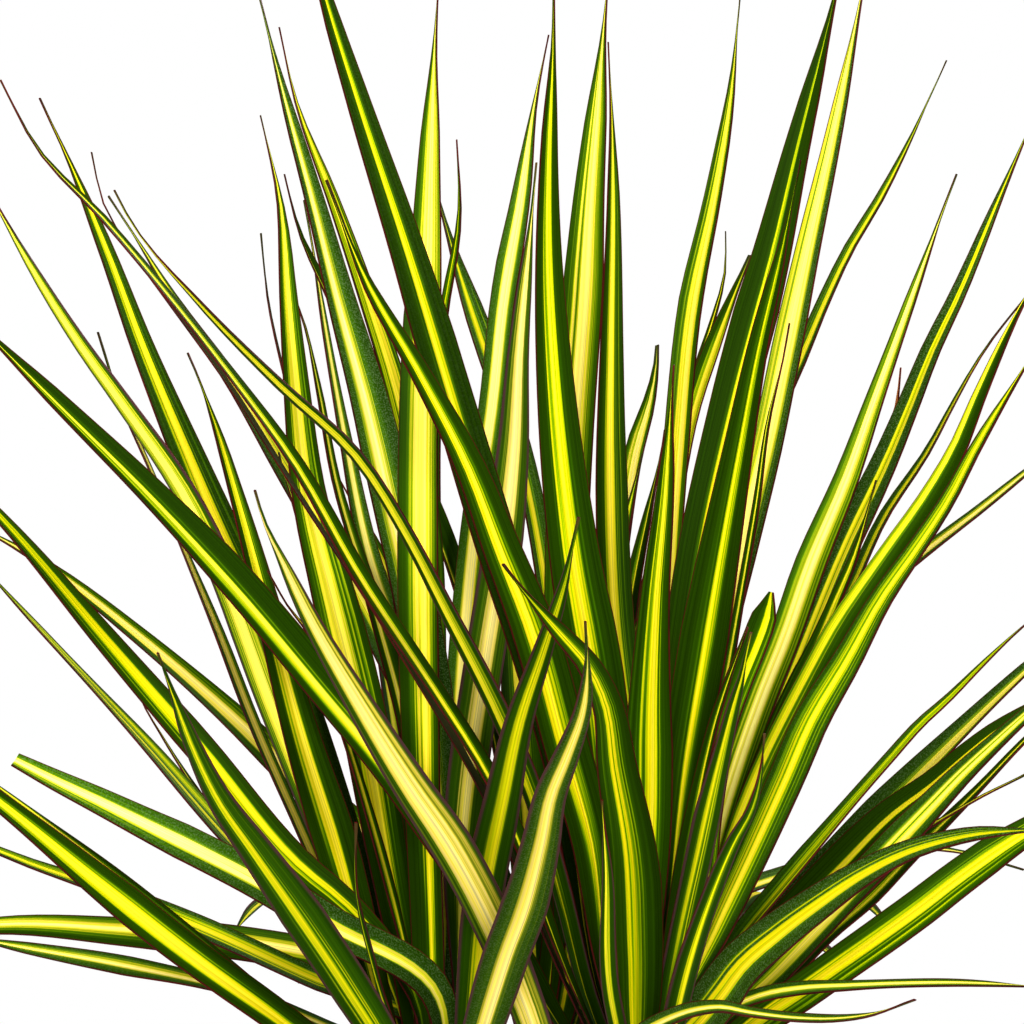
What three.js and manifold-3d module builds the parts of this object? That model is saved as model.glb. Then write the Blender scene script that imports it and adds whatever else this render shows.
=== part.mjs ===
// Potted dragon tree: three canes in a clay pot, each with a crown of striped sword leaves.
// Millimetres, +Z up. The origin is the centre of the underside of the pot, and the front faces -Y.
import * as THREE from "three";
import { mergeVertices } from "three/addons/utils/BufferGeometryUtils.js";
import Module from "manifold-3d";

const wasm = await Module();
wasm.setup();

// Clay pot
const POT_HEIGHT = 150;
const POT_TOP_RADIUS = 84;
const POT_BASE_RADIUS = 60;
const POT_WALL = 6;
const POT_FLOOR = 9;
const BAND_HEIGHT = 30;
const BAND_DEPTH = 5;
const RIM_ROUNDING = 1.5;
const POT_SIDES = 36;
const DRAIN_RADIUS = 6;
const DRAIN_CIRCLE = 30;
const DRAIN_COUNT = 3;
const HOLE_SIDES = 16;

// Potting soil
const SOIL_HEIGHT = 134;
const SOIL_DOME = 4;
const FIT_GAP = 0.3;

// Canes
const CANE_RADIUS = 9;
const CANE_FOOT_DEPTH = 62;
const CANE_TOP = 200;
const CANE_SIDES = 10;
const SCAR_SPACING = 8;
const SCAR_HEIGHT = 0.7;
const FOOT_SHARE = 0.68;

// Crowns: where each stem's axis stands at leaf height
const CROWN_AXES = {
  left: [-41, -20],
  right: [42, -20],
  back: [0, 36],
};
const STEM_TOP = 304;
const STEM_BOTTOM_RADIUS = 10;
const STEM_TOP_RADIUS = 10;
const STEM_ROUNDING = 8;
const STEM_SIDES = 10;
const ROOT_TOP = 282;
const ROOT_SPREAD = 45;

// Leaf blades
const BLADE_THICKNESS = 0.7;
const BLADE_STEPS = [0, 0.13, 0.32, 0.52, 0.72, 0.9, 1];
const ROOT_HALF_WIDTH = 5;
const NECK_SHARE = 0.13;
const ROOT_RADIUS = 2;
const NECK_WIDTH = 0.75;
const FULL_WIDTH_SHARE = 0.4;
const TIP_WIDTH = 0.07;
const CHANNEL_RISE = 0.2;
const TAPER_POWER = 0.88;
const REACH_POWER = 1.5;
const UNTWIST_SHARE = 0.3;

// Leaf routes are drawn on an upright grid through the pot's axis, as seen from an eye point in
// front of the plant at leaf height: columns count to the right and rows count down.
const GRID = 0.375;
const AXIS_COLUMN = 540;
const STEM_TOP_ROW = 1060;
const STEM_TOP_ROW_HEIGHT = 290;
const EYE = new THREE.Vector3(-10.5, -1300, 495.5);

// Each leaf: its crown, full width, share of its length in which the tip tapers, how far the tip
// reaches towards the front, its turn in degrees at mid length and at the tip, and its route from
// the stem to the tip as "column,row" places. A turn of 0 shows the upper face to the front, 90 an
// edge and 180 the underside.
const LEAVES = [
  // Left fan, from the top down
  ["right", 14, 0.5, 40, 66, 66,
    "570,980 487,775 437,695 361,580 292,460 234,380 172,300 104,219 38,149 1,80"],
  ["left", 20.5, 0.5, -120, 30, 32,
    "400,1040 325,800 272,650 222,540 184,450 143,350 106,250 64,150 50,120 40,98"],
  ["right", 4, 0.5, 0, 60, 60, "566,985 480,785 390,635 303,500 226,380 165,297 128,245 105,205 92,152"],
  ["back", 18, 0.5, -150, 40, 42,
    "540,1030 478,840 420,715 345,570 280,462 231,380 175,300 145,252 108,196"],
  ["right", 13, 0.75, 150, 130, 132,
    "612,1060 589,1000 563,900 530,790 499,715 445,608 408,537 355,455 280,385 200,303 128,215 115,190"],
  ["left", 14.5, 0.5, -20, 142, 138,
    "400,1010 330,850 270,700 225,580 188,500 120,400 84,350 22,250 -5,200 -30,150"],
  ["right", 16, 0.35, 110, 33, 40,
    "575,1050 520,960 440,840 385,762 320,683 240,588 152,494 54,398 2,347 -60,285"],
  ["left", 9, 0.5, -90, 60, 62,
    "400,1030 345,930 300,830 250,715 221,640 188,560 146,458 120,400 98,332"],
  ["left", 17, 0.6, 10, 22, 28,
    "395,1060 364,950 336,850 302,740 265,600 238,500 214,420 199,380 187,353"],
  ["left", 5, 0.4, 40, 50, 50, "420,1040 365,800 330,690 310,635 288,605 268,570"],
  ["left", 13.5, 0.45, 40, 35, 38, "410,985 345,905 300,868 200,750 100,634 0,517 -60,455 -110,410"],
  ["back", 16, 0.5, -110, 35, 45, "500,960 390,860 285,768 235,720 140,637 50,568 -60,505"],
  ["left", 13.5, 0.5, -170, 58, 60, "390,1040 300,915 223,833 148,747 97,691 -3,582 -33,550"],
  ["left", 6, 0.5, -120, 60, 60, "390,1040 290,890 232,838 195,788 163,737 138,690 132,670"],
  ["left", 14.5, 0.41, 60, 28, 30, "430,985 330,925 256,881 200,852 150,827 100,802 50,778 15,760"],
  ["left", 15, 0.45, 130, 35, 40, "395,1110 285,1024 200,963 100,885 0,803 -90,735 -150,700"],
  ["left", 8, 0.45, 90, 55, 55, "400,1105 290,1020 200,943 100,863 50,825 0,788 -60,745"],
  ["left", 11, 0.45, 0, 45, 48, "430,1030 310,978 210,932 120,895 40,867 -40,838 -120,830"],
  ["left", 14, 0.45, -120, 22, 30, "430,990 320,958 240,944 120,932 0,926 -110,940 -190,975"],
  ["left", 9, 0.3, -40, 65, 20, "430,1075 330,1028 240,993 120,965 0,943 -60,930"],
  // Upright leaves above the left stem
  ["left", 19, 0.42, -110, 30, 35, "440,1030 413,600 394,512 368,400 340,300 314,200 286,100 256,-15"],
  ["left", 14, 0.45, -120, 30, 35, "438,1030 430,700 420,500 399,400 368,300 333,200 296,100 280,27"],
  ["left", 19, 0.5, -70, 27, 32,
    "420,1050 385,850 362,720 333,600 309,500 295,380 288,300 280,200 261,115"],
  ["back", 10, 0.4, -85, 45, 48, "540,1010 510,800 462,590 420,480 376,400 332,300 300,232 285,174"],
  ["left", 4, 0.5, -100, 60, 60, "425,1030 330,600 290,400 268,295 261,233"],
  ["left", 9, 0.45, -60, 45, 48, "432,1040 400,700 372,600 336,480 318,385 300,310 292,290"],
  ["back", 15, 0.6, -170, 35, 45,
    "540,1010 515,920 476,840 436,745 399,645 370,560 345,440 329,350 314,256 304,200"],
  ["left", 16, 0.3, -60, 25, 30, "430,1040 422,750 419,550 420,400 427,250 430,150 434,50 438,-20"],
  ["left", 7, 0.4, -200, 50, 50, "440,1030 436,650 444,315 459,215 456,140"],
  ["left", 12, 0.2, -190, 30, 35, "450,1000 460,700 476,520 493,400 504,300 521,200 535,100 548,35"],
  ["left", 16, 0.38, -60, 158, 155, "452,1010 466,800 487,650 503,550 514,450 519,350 528,250 537,163"],
  ["left", 10, 0.4, -200, 40, 40, "440,1070 422,950 414,850 400,765 381,650 362,560 355,520"],
  ["left", 11, 0.5, -200, 40, 40, "410,1060 398,1024 370,930 340,820 325,760"],
  ["left", 10, 0.4, -150, 40, 40, "420,1060 397,950 377,850 364,750 358,700"],
  // Upright leaves above the right and back stems
  ["right", 18, 0.5, 80, 24, 32,
    "612,1020 590,835 566,750 532,628 501,550 470,470 419,372 366,280 326,180"],
  ["right", 17.5, 0.38, 30, 28, 32,
    "600,1000 560,760 530,650 500,560 451,400 406,250 357,100 326,0 290,-150"],
  ["back", 12, 0.5, -230, 40, 42, "565,1000 562,740 545,575 520,450 486,350 455,256 439,200"],
  ["right", 21, 0.57, 70, 12, 22,
    "622,1070 613,900 598,700 573,550 556,400 548,250 549,150 553,50 553,-25"],
  ["back", 18, 0.28, -90, 25, 30, "562,1010 566,760 570,500 574,430 584,300 590,200 598,100 608,-30"],
  ["right", 15, 0.4, -160, 30, 35, "645,1050 636,800 614,600 610,450 611,350 613,200 612,120 609,42"],
  ["right", 18, 0.5, 90, 20, 30, "645,1060 650,800 651,700 656,600 665,500 671,400 673,365"],
  ["back", 11, 0.25, -260, 40, 42, "560,1010 604,720 624,520 637,445 650,400 656,365 657,345"],
  ["back", 11, 0.3, -150, 42, 44, "575,1010 600,800 622,660 634,580 648,512 661,450 664,430"],
  ["right", 12, 0.27, -110, 35, 38, "662,1030 664,760 667,600 677,450 692,300 713,200 730,100 740,-10"],
  ["back", 7, 0.5, -240, 50, 50, "575,1000 640,620 672,480 697,370 713,320 725,270 725,231"],
  ["back", 10, 0.4, -200, 40, 42, "590,1000 645,650 670,520 695,400 713,347 731,300 750,255"],
  ["right", 19, 0.32, -60, 25, 30,
    "660,1040 680,720 702,550 735,400 774,250 797,150 822,50 834,0 846,-60"],
  ["right", 19, 0.5, 60, 22, 30,
    "655,1040 668,920 685,765 703,655 720,555 739,450 758,350 784,240 800,160"],
  ["right", 15, 0.33, -130, 35, 38,
    "680,1000 700,800 721,640 745,540 767,450 788,350 809,250 831,150 851,50 871,-60"],
  ["right", 6, 0.5, 0, 40, 40, "680,1000 712,760 740,600 757,500 768,420 783,356 789,323"],
  ["back", 13, 0.4, -220, 48, 48,
    "600,960 660,680 715,540 765,430 797,365 825,300 849,250 879,200 905,150 946,60"],
  ["right", 7, 0.4, 120, 150, 150, "625,1060 612,1000 607,860 603,800"],
  // Right fan, from the top down
  ["right", 15, 0.42, -50, 38, 40,
    "680,1010 728,800 762,700 786,640 814,560 847,480 875,400 893,350 911,300 947,200 957,174"],
  ["right", 15, 0.4, -170, 38, 42,
    "700,960 760,760 803,650 844,550 891,450 911,402 932,350 956,300 998,200 1045,90"],
  ["right", 8, 0.2, -130, 40, 60, "690,1000 760,740 800,655 829,597 859,520 882,455 895,412 900,368"],
  ["right", 10, 0.3, 10, 40, 45,
    "680,1010 722,880 766,760 796,690 815,650 836,600 853,560 868,510 876,480"],
  ["back", 12, 0.5, -210, 60, 60,
    "610,970 740,760 800,680 848,595 884,517 928,450 955,400 983,352 1035,285"],
  ["right", 15, 0.45, 20, 40, 45,
    "690,1000 762,790 815,682 846,625 877,578 896,550 930,500 958,450 978,400 1019,310 1060,240"],
  ["right", 15.5, 0.52, 110, 38, 50,
    "665,1050 719,928 752,859 788,780 813,722 849,660 882,600 918,548 949,500 975,450 1024,367 1050,325"],
  ["back", 12, 0.4, -130, 50, 50,
    "600,950 720,745 800,655 850,612 895,575 940,540 977,512 1024,474 1110,405"],
  ["right", 11, 0.06, 60, 30, 30, "690,1000 713,790 726,720 740,680 756,641 765,616 771,592"],
  ["right", 10.5, 0.35, 130, 150, 150,
    "662,1050 681,941 701,850 720,762 735,700 742,675 747,650 751,632"],
  ["right", 8, 0.4, 100, 40, 40, "660,1040 676,920 690,835 705,760 715,720 728,680 742,642 747,627"],
  ["right", 10, 0.5, 190, 140, 140, "680,1000 708,905 735,840 750,812 762,755 764,733"],
  ["right", 9, 0.5, 40, 52, 55,
    "670,1040 728,950 777,889 833,823 890,758 922,722 945,701 985,661 1024,625 1060,597"],
  ["right", 15, 0.4, -15, 42, 45,
    "680,1050 745,955 790,905 823,871 887,804 926,764 966,725 1030,665 1100,603"],
  ["right", 15, 0.45, 15, 38, 40,
    "680,1050 760,950 805,900 841,863 891,813 931,783 961,757 991,733 1035,705 1100,660"],
  ["right", 15, 0.42, 50, 42, 45,
    "690,1060 780,968 830,915 885,857 930,809 960,777 1000,739 1060,685 1120,630"],
  ["right", 9, 0.45, -40, 45, 50,
    "690,1070 740,1020 790,973 830,933 870,899 912,855 945,822 980,787 1024,741 1090,680"],
  ["right", 7, 0.5, 15, 60, 60, "690,1050 800,900 900,843 945,817 980,797 1024,775 1045,764"],
  ["back", 12, 0.5, -250, 50, 55,
    "620,980 700,908 740,890 780,876 825,861 880,851 930,848 962,852 1024,870"],
  ["right", 15.5, 0.32, 60, 30, 40,
    "690,1088 760,1022 800,995 840,967 880,939 920,910 960,879 1024,835 1090,800 1200,780"],
  ["right", 8, 0.5, 150, 55, 55, "690,1040 740,1004 765,995 800,989 850,986 900,984 960,983 1060,987"],
  // Leaves that arch over the front
  ["right", 20, 0.55, 220, 15, 20,
    "638,1080 635,950 630,850 616,768 605,700 586,662 563,636 538,608 512,577 503,565"],
  ["left", 16.5, 0.5, 220, 165, 160,
    "480,1040 493,999 508,953 523,913 541,844 551,795 567,755 582,712 587,657 586,621"],
  ["left", 15, 0.5, 180, 160, 160, "465,1080 474,1000 487,880 503,800 520,720 543,650 565,580 579,517"],
  ["right", 15, 0.5, 250, 165, 160,
    "560,1090 524,1000 500,940 448,841 413,790 357,700 311,620 282,560 263,520 254,490"],
  ["left", 15, 0.5, 250, 165, 160, "400,1075 348,985 308,925 255,850 220,800 195,750 175,700 157,652"],
  ["left", 4, 0.5, 110, 120, 120, "400,1050 375,970 358,895 356,822"],
  ["right", 18.5, 0.62, 230, 25, 38,
    "650,1060 690,1030 720,995 740,968 780,933 820,903 860,876 905,853 960,837 1065,828"],
  ["right", 8, 0.6, 280, 48, 50,
    "640,1035 666,1020 694,1010 721,1007 748,1012 800,1018 840,1018 870,1014 915,999"],
  // One more upright leaf in front of those above the left stem
  ["left", 10, 0.5, -40, 35, 38, "425,1030 400,850 365,720 331,620 305,540 293,500 282,465 279,452"],
];

// Blades that lost their tips: by place in the list above, how much more of the leaf's length the
// tip would have taken
const LOST_TIPS = { 14: 0.14, 60: 0.03 };

// Leaves of neighbouring layers are eased apart until they clear each other
const LAYER_GAP = 4;
const LAYER_SAMPLES = 28;
const LAYER_ROUNDS = 120;
const LAYER_SOFTNESS = 0.15;
const SHARED_ROOT = 0.22;
const LAYER_MARGIN = 1.5;

// Leaves that arch out by rule, in sectors in degrees round the stem from +X: old ones droop under
// each crown, young ones rise at the back, and the youngest stand in the heart of the plant
const ARCHING = {
  old: { count: 8, heights: [252, 214], rises: [30, 12], bends: [84, 98], lengths: [320, 262] },
  young: { count: 3, heights: [268, 262], rises: [46, 40], bends: [70, 82], lengths: [330, 300] },
  inner: { count: 4, heights: [286, 276], rises: [84, 72], bends: [18, 40], lengths: [230, 280] },
};
const SECTORS = {
  old: { left: [158, 262], right: [278, 382], back: [36, 144] },
  young: { left: [100, 114], right: [66, 80], back: [76, 104] },
  inner: { back: [45, 135] },
};
const ARCH_WIDTHS = [13, 18];
const ARCH_TAPER = 0.5;
const GOLDEN_SHARE = 0.618034;
const DRAW_SEED = 7;
const SIMPLE_WITHIN = 0.1;

const COLOURS = {
  leaf: 0x6f9a2a,
  cane: 0x8a6b4a,
  soil: 0x3a2a1e,
  clay: 0xb5653f,
};

function matte(colour, roughness) {
  return new THREE.MeshStandardMaterial({ color: colour, roughness, metalness: 0 });
}

function solidOf(geometry) {
  const bare = geometry.clone();
  bare.deleteAttribute("normal");
  bare.deleteAttribute("uv");
  const merged = mergeVertices(bare, 1e-3);
  const vertProperties = new Float32Array(merged.attributes.position.array);
  const triVerts = new Uint32Array(merged.index.array);
  return new wasm.Manifold(new wasm.Mesh({ numProp: 3, vertProperties, triVerts }));
}

function geometryOf(solid) {
  const mesh = solid.getMesh();
  const geometry = new THREE.BufferGeometry();
  geometry.setAttribute("position", new THREE.BufferAttribute(mesh.vertProperties, 3));
  geometry.setIndex(new THREE.BufferAttribute(mesh.triVerts, 1));
  geometry.computeVertexNormals();
  return geometry;
}

// A lathe shape about the Z axis, from [radius, height] pairs listed upwards on the outside
function turned(profile, sides) {
  const points = profile.map(([radius, height]) => new THREE.Vector2(radius, height));
  const geometry = new THREE.LatheGeometry(points, sides);
  geometry.rotateX(Math.PI / 2);
  return geometry;
}

function upright(radius, bottom, top, sides) {
  const geometry = new THREE.CylinderGeometry(radius, radius, top - bottom, sides);
  geometry.rotateX(Math.PI / 2);
  geometry.translate(0, 0, (top + bottom) / 2);
  return geometry;
}

// Whole numbers mixed to an even draw between 0 and 1
function draw(seed) {
  const mixed = Math.sin(seed * 12.9898 + DRAW_SEED * 78.233) * 43758.5453;
  return mixed - Math.floor(mixed);
}

function smooth(share) {
  const held = Math.min(1, Math.max(0, share));
  return held * held * (3 - 2 * held);
}

function potWallRadius(height) {
  return POT_BASE_RADIUS + (POT_TOP_RADIUS - BAND_DEPTH - POT_BASE_RADIUS) * (height / POT_HEIGHT);
}

function makePot() {
  const bandBottom = POT_HEIGHT - BAND_HEIGHT;
  const profile = [
    [0, 0],
    [POT_BASE_RADIUS - RIM_ROUNDING, 0],
    [POT_BASE_RADIUS, RIM_ROUNDING],
    [potWallRadius(bandBottom - 1), bandBottom - 1],
    [potWallRadius(bandBottom) + BAND_DEPTH - 1, bandBottom],
    [POT_TOP_RADIUS, POT_HEIGHT - RIM_ROUNDING],
    [POT_TOP_RADIUS - RIM_ROUNDING, POT_HEIGHT],
    [potWallRadius(POT_HEIGHT) - POT_WALL + RIM_ROUNDING, POT_HEIGHT],
    [potWallRadius(POT_HEIGHT) - POT_WALL, POT_HEIGHT - RIM_ROUNDING],
    [potWallRadius(POT_FLOOR) - POT_WALL, POT_FLOOR],
    [0, POT_FLOOR],
  ];
  let pot = solidOf(turned(profile, POT_SIDES));
  for (let hole = 0; hole < DRAIN_COUNT; hole += 1) {
    const angle = (hole / DRAIN_COUNT) * Math.PI * 2;
    const drain = upright(DRAIN_RADIUS, -1, POT_FLOOR + 1, HOLE_SIDES);
    drain.translate(Math.cos(angle) * DRAIN_CIRCLE, Math.sin(angle) * DRAIN_CIRCLE, 0);
    pot = pot.subtract(solidOf(drain));
  }
  return geometryOf(pot);
}

function caneFoot(name) {
  return CROWN_AXES[name].map((place) => place * FOOT_SHARE);
}

function makeSoil() {
  const wallGap = POT_WALL + FIT_GAP;
  const bottom = POT_FLOOR + FIT_GAP;
  const edgeHeight = SOIL_HEIGHT - SOIL_DOME;
  const profile = [
    [0, bottom],
    [potWallRadius(bottom) - wallGap, bottom],
    [potWallRadius(edgeHeight) - wallGap, edgeHeight],
    [potWallRadius(edgeHeight) * 0.6, SOIL_HEIGHT - SOIL_DOME * 0.3],
    [0, SOIL_HEIGHT],
  ];
  let soil = solidOf(turned(profile, POT_SIDES));
  for (const name of Object.keys(CROWN_AXES)) {
    const [x, y] = caneFoot(name);
    const bottomOfHole = SOIL_HEIGHT - CANE_FOOT_DEPTH;
    const hole = upright(CANE_RADIUS + SCAR_HEIGHT + FIT_GAP, bottomOfHole, SOIL_HEIGHT + 10, HOLE_SIDES);
    hole.translate(x, y, 0);
    soil = soil.subtract(solidOf(hole));
  }
  return geometryOf(soil);
}

// A cane stands straight in the soil, then leans out until it is under its crown
function makeCane(name) {
  const [axisX, axisY] = CROWN_AXES[name];
  const [footX, footY] = caneFoot(name);
  const bottom = SOIL_HEIGHT - CANE_FOOT_DEPTH + FIT_GAP;
  const profile = [[0, bottom], [CANE_RADIUS, bottom], [CANE_RADIUS, SOIL_HEIGHT - 6]];
  for (let height = SOIL_HEIGHT; height < CANE_TOP - SCAR_SPACING / 2; height += SCAR_SPACING) {
    profile.push([CANE_RADIUS + SCAR_HEIGHT, height]);
    profile.push([CANE_RADIUS, height + SCAR_SPACING * 0.25]);
  }
  profile.push([CANE_RADIUS, CANE_TOP]);
  profile.push([0, CANE_TOP]);
  const geometry = turned(profile, CANE_SIDES);
  const place = geometry.attributes.position;
  for (let i = 0; i < place.count; i += 1) {
    const lean = smooth((place.getZ(i) - SOIL_HEIGHT) / (CANE_TOP - SOIL_HEIGHT));
    place.setX(i, place.getX(i) + footX + (axisX - footX) * lean);
    place.setY(i, place.getY(i) + footY + (axisY - footY) * lean);
  }
  return geometryOf(solidOf(geometry));
}

// The point that a grid place covers, slid along its sight line by its depth towards the front
function placeOnSight(column, row, depth) {
  const height = STEM_TOP_ROW_HEIGHT + (STEM_TOP_ROW - row) * GRID;
  const point = new THREE.Vector3((column - AXIS_COLUMN) * GRID, 0, height);
  return point.sub(EYE).multiplyScalar(1 + depth / EYE.y).add(EYE);
}

function gridPlaceOf(point) {
  const depth = -point.y;
  const shrink = 1 + depth / EYE.y;
  const x = EYE.x + (point.x - EYE.x) / shrink;
  const z = EYE.z + (point.z - EYE.z) / shrink;
  return [AXIS_COLUMN + x / GRID, STEM_TOP_ROW + (STEM_TOP_ROW_HEIGHT - z) / GRID, depth];
}

// Shares of the way along a route at each of its points
function routeShares(route) {
  const shares = [0];
  for (let i = 1; i < route.length; i += 1) {
    const step = Math.hypot(route[i][0] - route[i - 1][0], route[i][1] - route[i - 1][1]);
    shares.push(shares[i - 1] + step);
  }
  const whole = shares[shares.length - 1];
  return shares.map((share) => share / whole);
}

function routeSlope(route, shares, i, axis) {
  const last = route.length - 1;
  const ahead = i < last ? (route[i + 1][axis] - route[i][axis]) / (shares[i + 1] - shares[i]) : 0;
  const behind = i > 0 ? (route[i][axis] - route[i - 1][axis]) / (shares[i] - shares[i - 1]) : 0;
  if (i === 0) {
    return ahead;
  }
  if (i === last) {
    return behind;
  }
  const before = shares[i] - shares[i - 1];
  const after = shares[i + 1] - shares[i];
  return (ahead * before + behind * after) / (before + after);
}

// A smooth curve through the route's points
function alongRoute(route, shares, share) {
  let i = 0;
  while (i < route.length - 2 && share > shares[i + 1]) {
    i += 1;
  }
  const span = shares[i + 1] - shares[i];
  const t = (share - shares[i]) / span;
  return [0, 1].map((axis) => {
    const start = route[i][axis];
    const end = route[i + 1][axis];
    const leave = routeSlope(route, shares, i, axis) * span;
    const arrive = routeSlope(route, shares, i + 1, axis) * span;
    const rise = end - start;
    return start + t * (leave + t * (3 * rise - 2 * leave - arrive + t * (leave + arrive - 2 * rise)));
  });
}

// Half the blade's width at a share of its length: a clasping root, a neck and a long taper
function halfWidth(leaf, share) {
  const root = ROOT_HALF_WIDTH / (leaf.width / 2);
  const neck = root + (NECK_WIDTH - root) * smooth(share / NECK_SHARE);
  const widened = smooth((share - NECK_SHARE) / (FULL_WIDTH_SHARE - NECK_SHARE));
  const body = share < NECK_SHARE ? neck : NECK_WIDTH + (1 - NECK_WIDTH) * widened;
  const taper = Math.min(1, (1 + leaf.lostTip - share) / leaf.taper) ** TAPER_POWER;
  return (leaf.width / 2) * Math.min(1, Math.max(TIP_WIDTH, body * taper));
}

function drawnLeaf([crown, width, taper, reach, turn, tipTurn, places], number) {
  const route = places.split(" ").map((place) => place.split(",").map(Number));
  const [axisX, axisY] = CROWN_AXES[crown];
  const tip = placeOnSight(route[route.length - 1][0], route[route.length - 1][1], reach);
  const outward = new THREE.Vector3(tip.x - axisX, tip.y - axisY, 0);
  const rise = tip.z - STEM_TOP_ROW_HEIGHT;
  const lean = outward.length() / Math.hypot(outward.length(), rise);
  outward.normalize();
  const rootHeight = ROOT_TOP - ROOT_SPREAD * lean;
  const root = new THREE.Vector3(axisX, axisY, rootHeight).addScaledVector(outward, ROOT_RADIUS);
  const [column, row, rootDepth] = gridPlaceOf(root);
  const wholeRoute = [[column, row], ...route];
  const shares = routeShares(wholeRoute);
  const lostTip = LOST_TIPS[number] ?? 0;
  const leaf = { crown, width, taper, lostTip, turn, tipTurn, outward, reachChange: 0, bow: 0 };
  leaf.side = tip.x < axisX ? 1 : -1;
  leaf.layerAt = (share) => {
    const [u, v] = alongRoute(wholeRoute, shares, share);
    const depth = rootDepth + (reach - rootDepth) * share ** REACH_POWER;
    return [u, v, depth + leaf.reachChange * share ** REACH_POWER + leaf.bow * 4 * share * (1 - share)];
  };
  leaf.pointAt = (share) => placeOnSight(...leaf.layerAt(share));
  return leaf;
}

function between([from, to], share) {
  return from + (to - from) * share;
}

// A leaf that leaves the stem at its rise and bends down evenly along its length
function archingLeaf(age, crown, number) {
  const [axisX, axisY] = CROWN_AXES[crown];
  const { count, heights, rises, bends, lengths } = ARCHING[age];
  const order = number / (count - 1);
  const azimuth = THREE.MathUtils.degToRad(between(SECTORS[age][crown], (number * GOLDEN_SHARE) % 1));
  const length = between(lengths, order) * between([0.96, 1.04], draw(number + 1));
  const rise = THREE.MathUtils.degToRad(between(rises, order));
  const bend = THREE.MathUtils.degToRad(between(bends, draw(number + 21)));
  const height = between(heights, order);
  const outward = new THREE.Vector3(Math.cos(azimuth), Math.sin(azimuth), 0);
  const width = between(ARCH_WIDTHS, draw(number + 41));
  const leaf = { crown, width, taper: ARCH_TAPER, lostTip: 0, turn: null, outward };
  leaf.pointAt = (share) => {
    const lower = rise - bend * share;
    const out = ROOT_RADIUS + (length / bend) * (Math.sin(rise) - Math.sin(lower));
    const up = (length / bend) * (Math.cos(lower) - Math.cos(rise));
    return new THREE.Vector3(axisX, axisY, height + up).addScaledVector(outward, out);
  };
  return leaf;
}

// Place, direction, upper normal and sideways direction of a blade at a share of its length
function bladeFrame(leaf, share) {
  const point = leaf.pointAt(share);
  const ahead = leaf.pointAt(Math.min(1, share + 0.01));
  const behind = leaf.pointAt(Math.max(0, share - 0.01));
  const along = ahead.sub(behind).normalize();
  const natural = new THREE.Vector3(0, 0, along.dot(leaf.outward)).addScaledVector(leaf.outward, -along.z);
  natural.addScaledVector(along, -natural.dot(along)).normalize();
  if (leaf.turn === null) {
    return { point, along, normal: natural, sideways: along.clone().cross(natural), roll: 0 };
  }
  const facing = EYE.clone().sub(point).normalize();
  facing.addScaledVector(along, -facing.dot(along)).normalize();
  const upSide = along.clone().cross(facing).multiplyScalar(leaf.side);
  let naturalRoll = Math.atan2(natural.dot(upSide), natural.dot(facing));
  if (naturalRoll < -Math.PI / 2) {
    naturalRoll += Math.PI * 2;
  }
  const turn = leaf.turn + (leaf.tipTurn - leaf.turn) * smooth((share - 0.45) / 0.4);
  const turned = smooth(share / UNTWIST_SHARE);
  const roll = naturalRoll * (1 - turned) + THREE.MathUtils.degToRad(turn) * turned;
  const normal = facing.multiplyScalar(Math.cos(roll)).addScaledVector(upSide, Math.sin(roll));
  return { point, along, normal, sideways: along.clone().cross(normal), roll };
}

// Pairs of samples of two leaves that cover the same place on the grid
function layerPairs(leaves) {
  for (const leaf of leaves) {
    leaf.samples = [];
    for (let k = 1; k <= LAYER_SAMPLES; k += 1) {
      const share = k / LAYER_SAMPLES;
      const [u, v, depth] = leaf.layerAt(share);
      const half = halfWidth(leaf, share);
      const roll = bladeFrame(leaf, share).roll;
      const seen = (half * Math.abs(Math.cos(roll)) + LAYER_MARGIN) / GRID;
      const deep = half * Math.abs(Math.sin(roll));
      leaf.samples.push({ share, u, v, depth, seen, deep });
    }
  }
  const pairs = [];
  for (let i = 0; i < leaves.length; i += 1) {
    for (let j = i + 1; j < leaves.length; j += 1) {
      const shared = leaves[i].crown === leaves[j].crown ? SHARED_ROOT : 0;
      const crossings = [];
      let lead = 0;
      for (const a of leaves[i].samples) {
        for (const b of leaves[j].samples) {
          const near = Math.hypot(a.u - b.u, a.v - b.v) < a.seen + b.seen;
          if (near && a.share >= shared && b.share >= shared) {
            crossings.push([a, b]);
            lead += a.depth - b.depth;
          }
        }
      }
      const order = lead >= 0 ? 1 : -1;
      for (const [a, b] of crossings) {
        pairs.push({ front: leaves[i], rear: leaves[j], a, b, order });
      }
    }
  }
  return pairs;
}

// Each pair that is too close pushes both leaves apart in depth, in their reach and in their bow
function easeLayers(leaves) {
  const pairs = layerPairs(leaves);
  for (let round = 0; round < LAYER_ROUNDS; round += 1) {
    for (const { front, rear, a, b, order } of pairs) {
      const aReach = a.share ** REACH_POWER;
      const bReach = b.share ** REACH_POWER;
      const aBow = 4 * a.share * (1 - a.share);
      const bBow = 4 * b.share * (1 - b.share);
      const aDepth = a.depth + front.reachChange * aReach + front.bow * aBow;
      const bDepth = b.depth + rear.reachChange * bReach + rear.bow * bBow;
      const short = LAYER_GAP + a.deep + b.deep - order * (aDepth - bDepth);
      if (short > 0) {
        const grip = aReach ** 2 + bReach ** 2 + aBow ** 2 + bBow ** 2 + LAYER_SOFTNESS;
        const push = (order * short * 0.5) / grip;
        front.reachChange += push * aReach;
        front.bow += push * aBow;
        rear.reachChange -= push * bReach;
        rear.bow -= push * bBow;
      }
    }
  }
}

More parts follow.
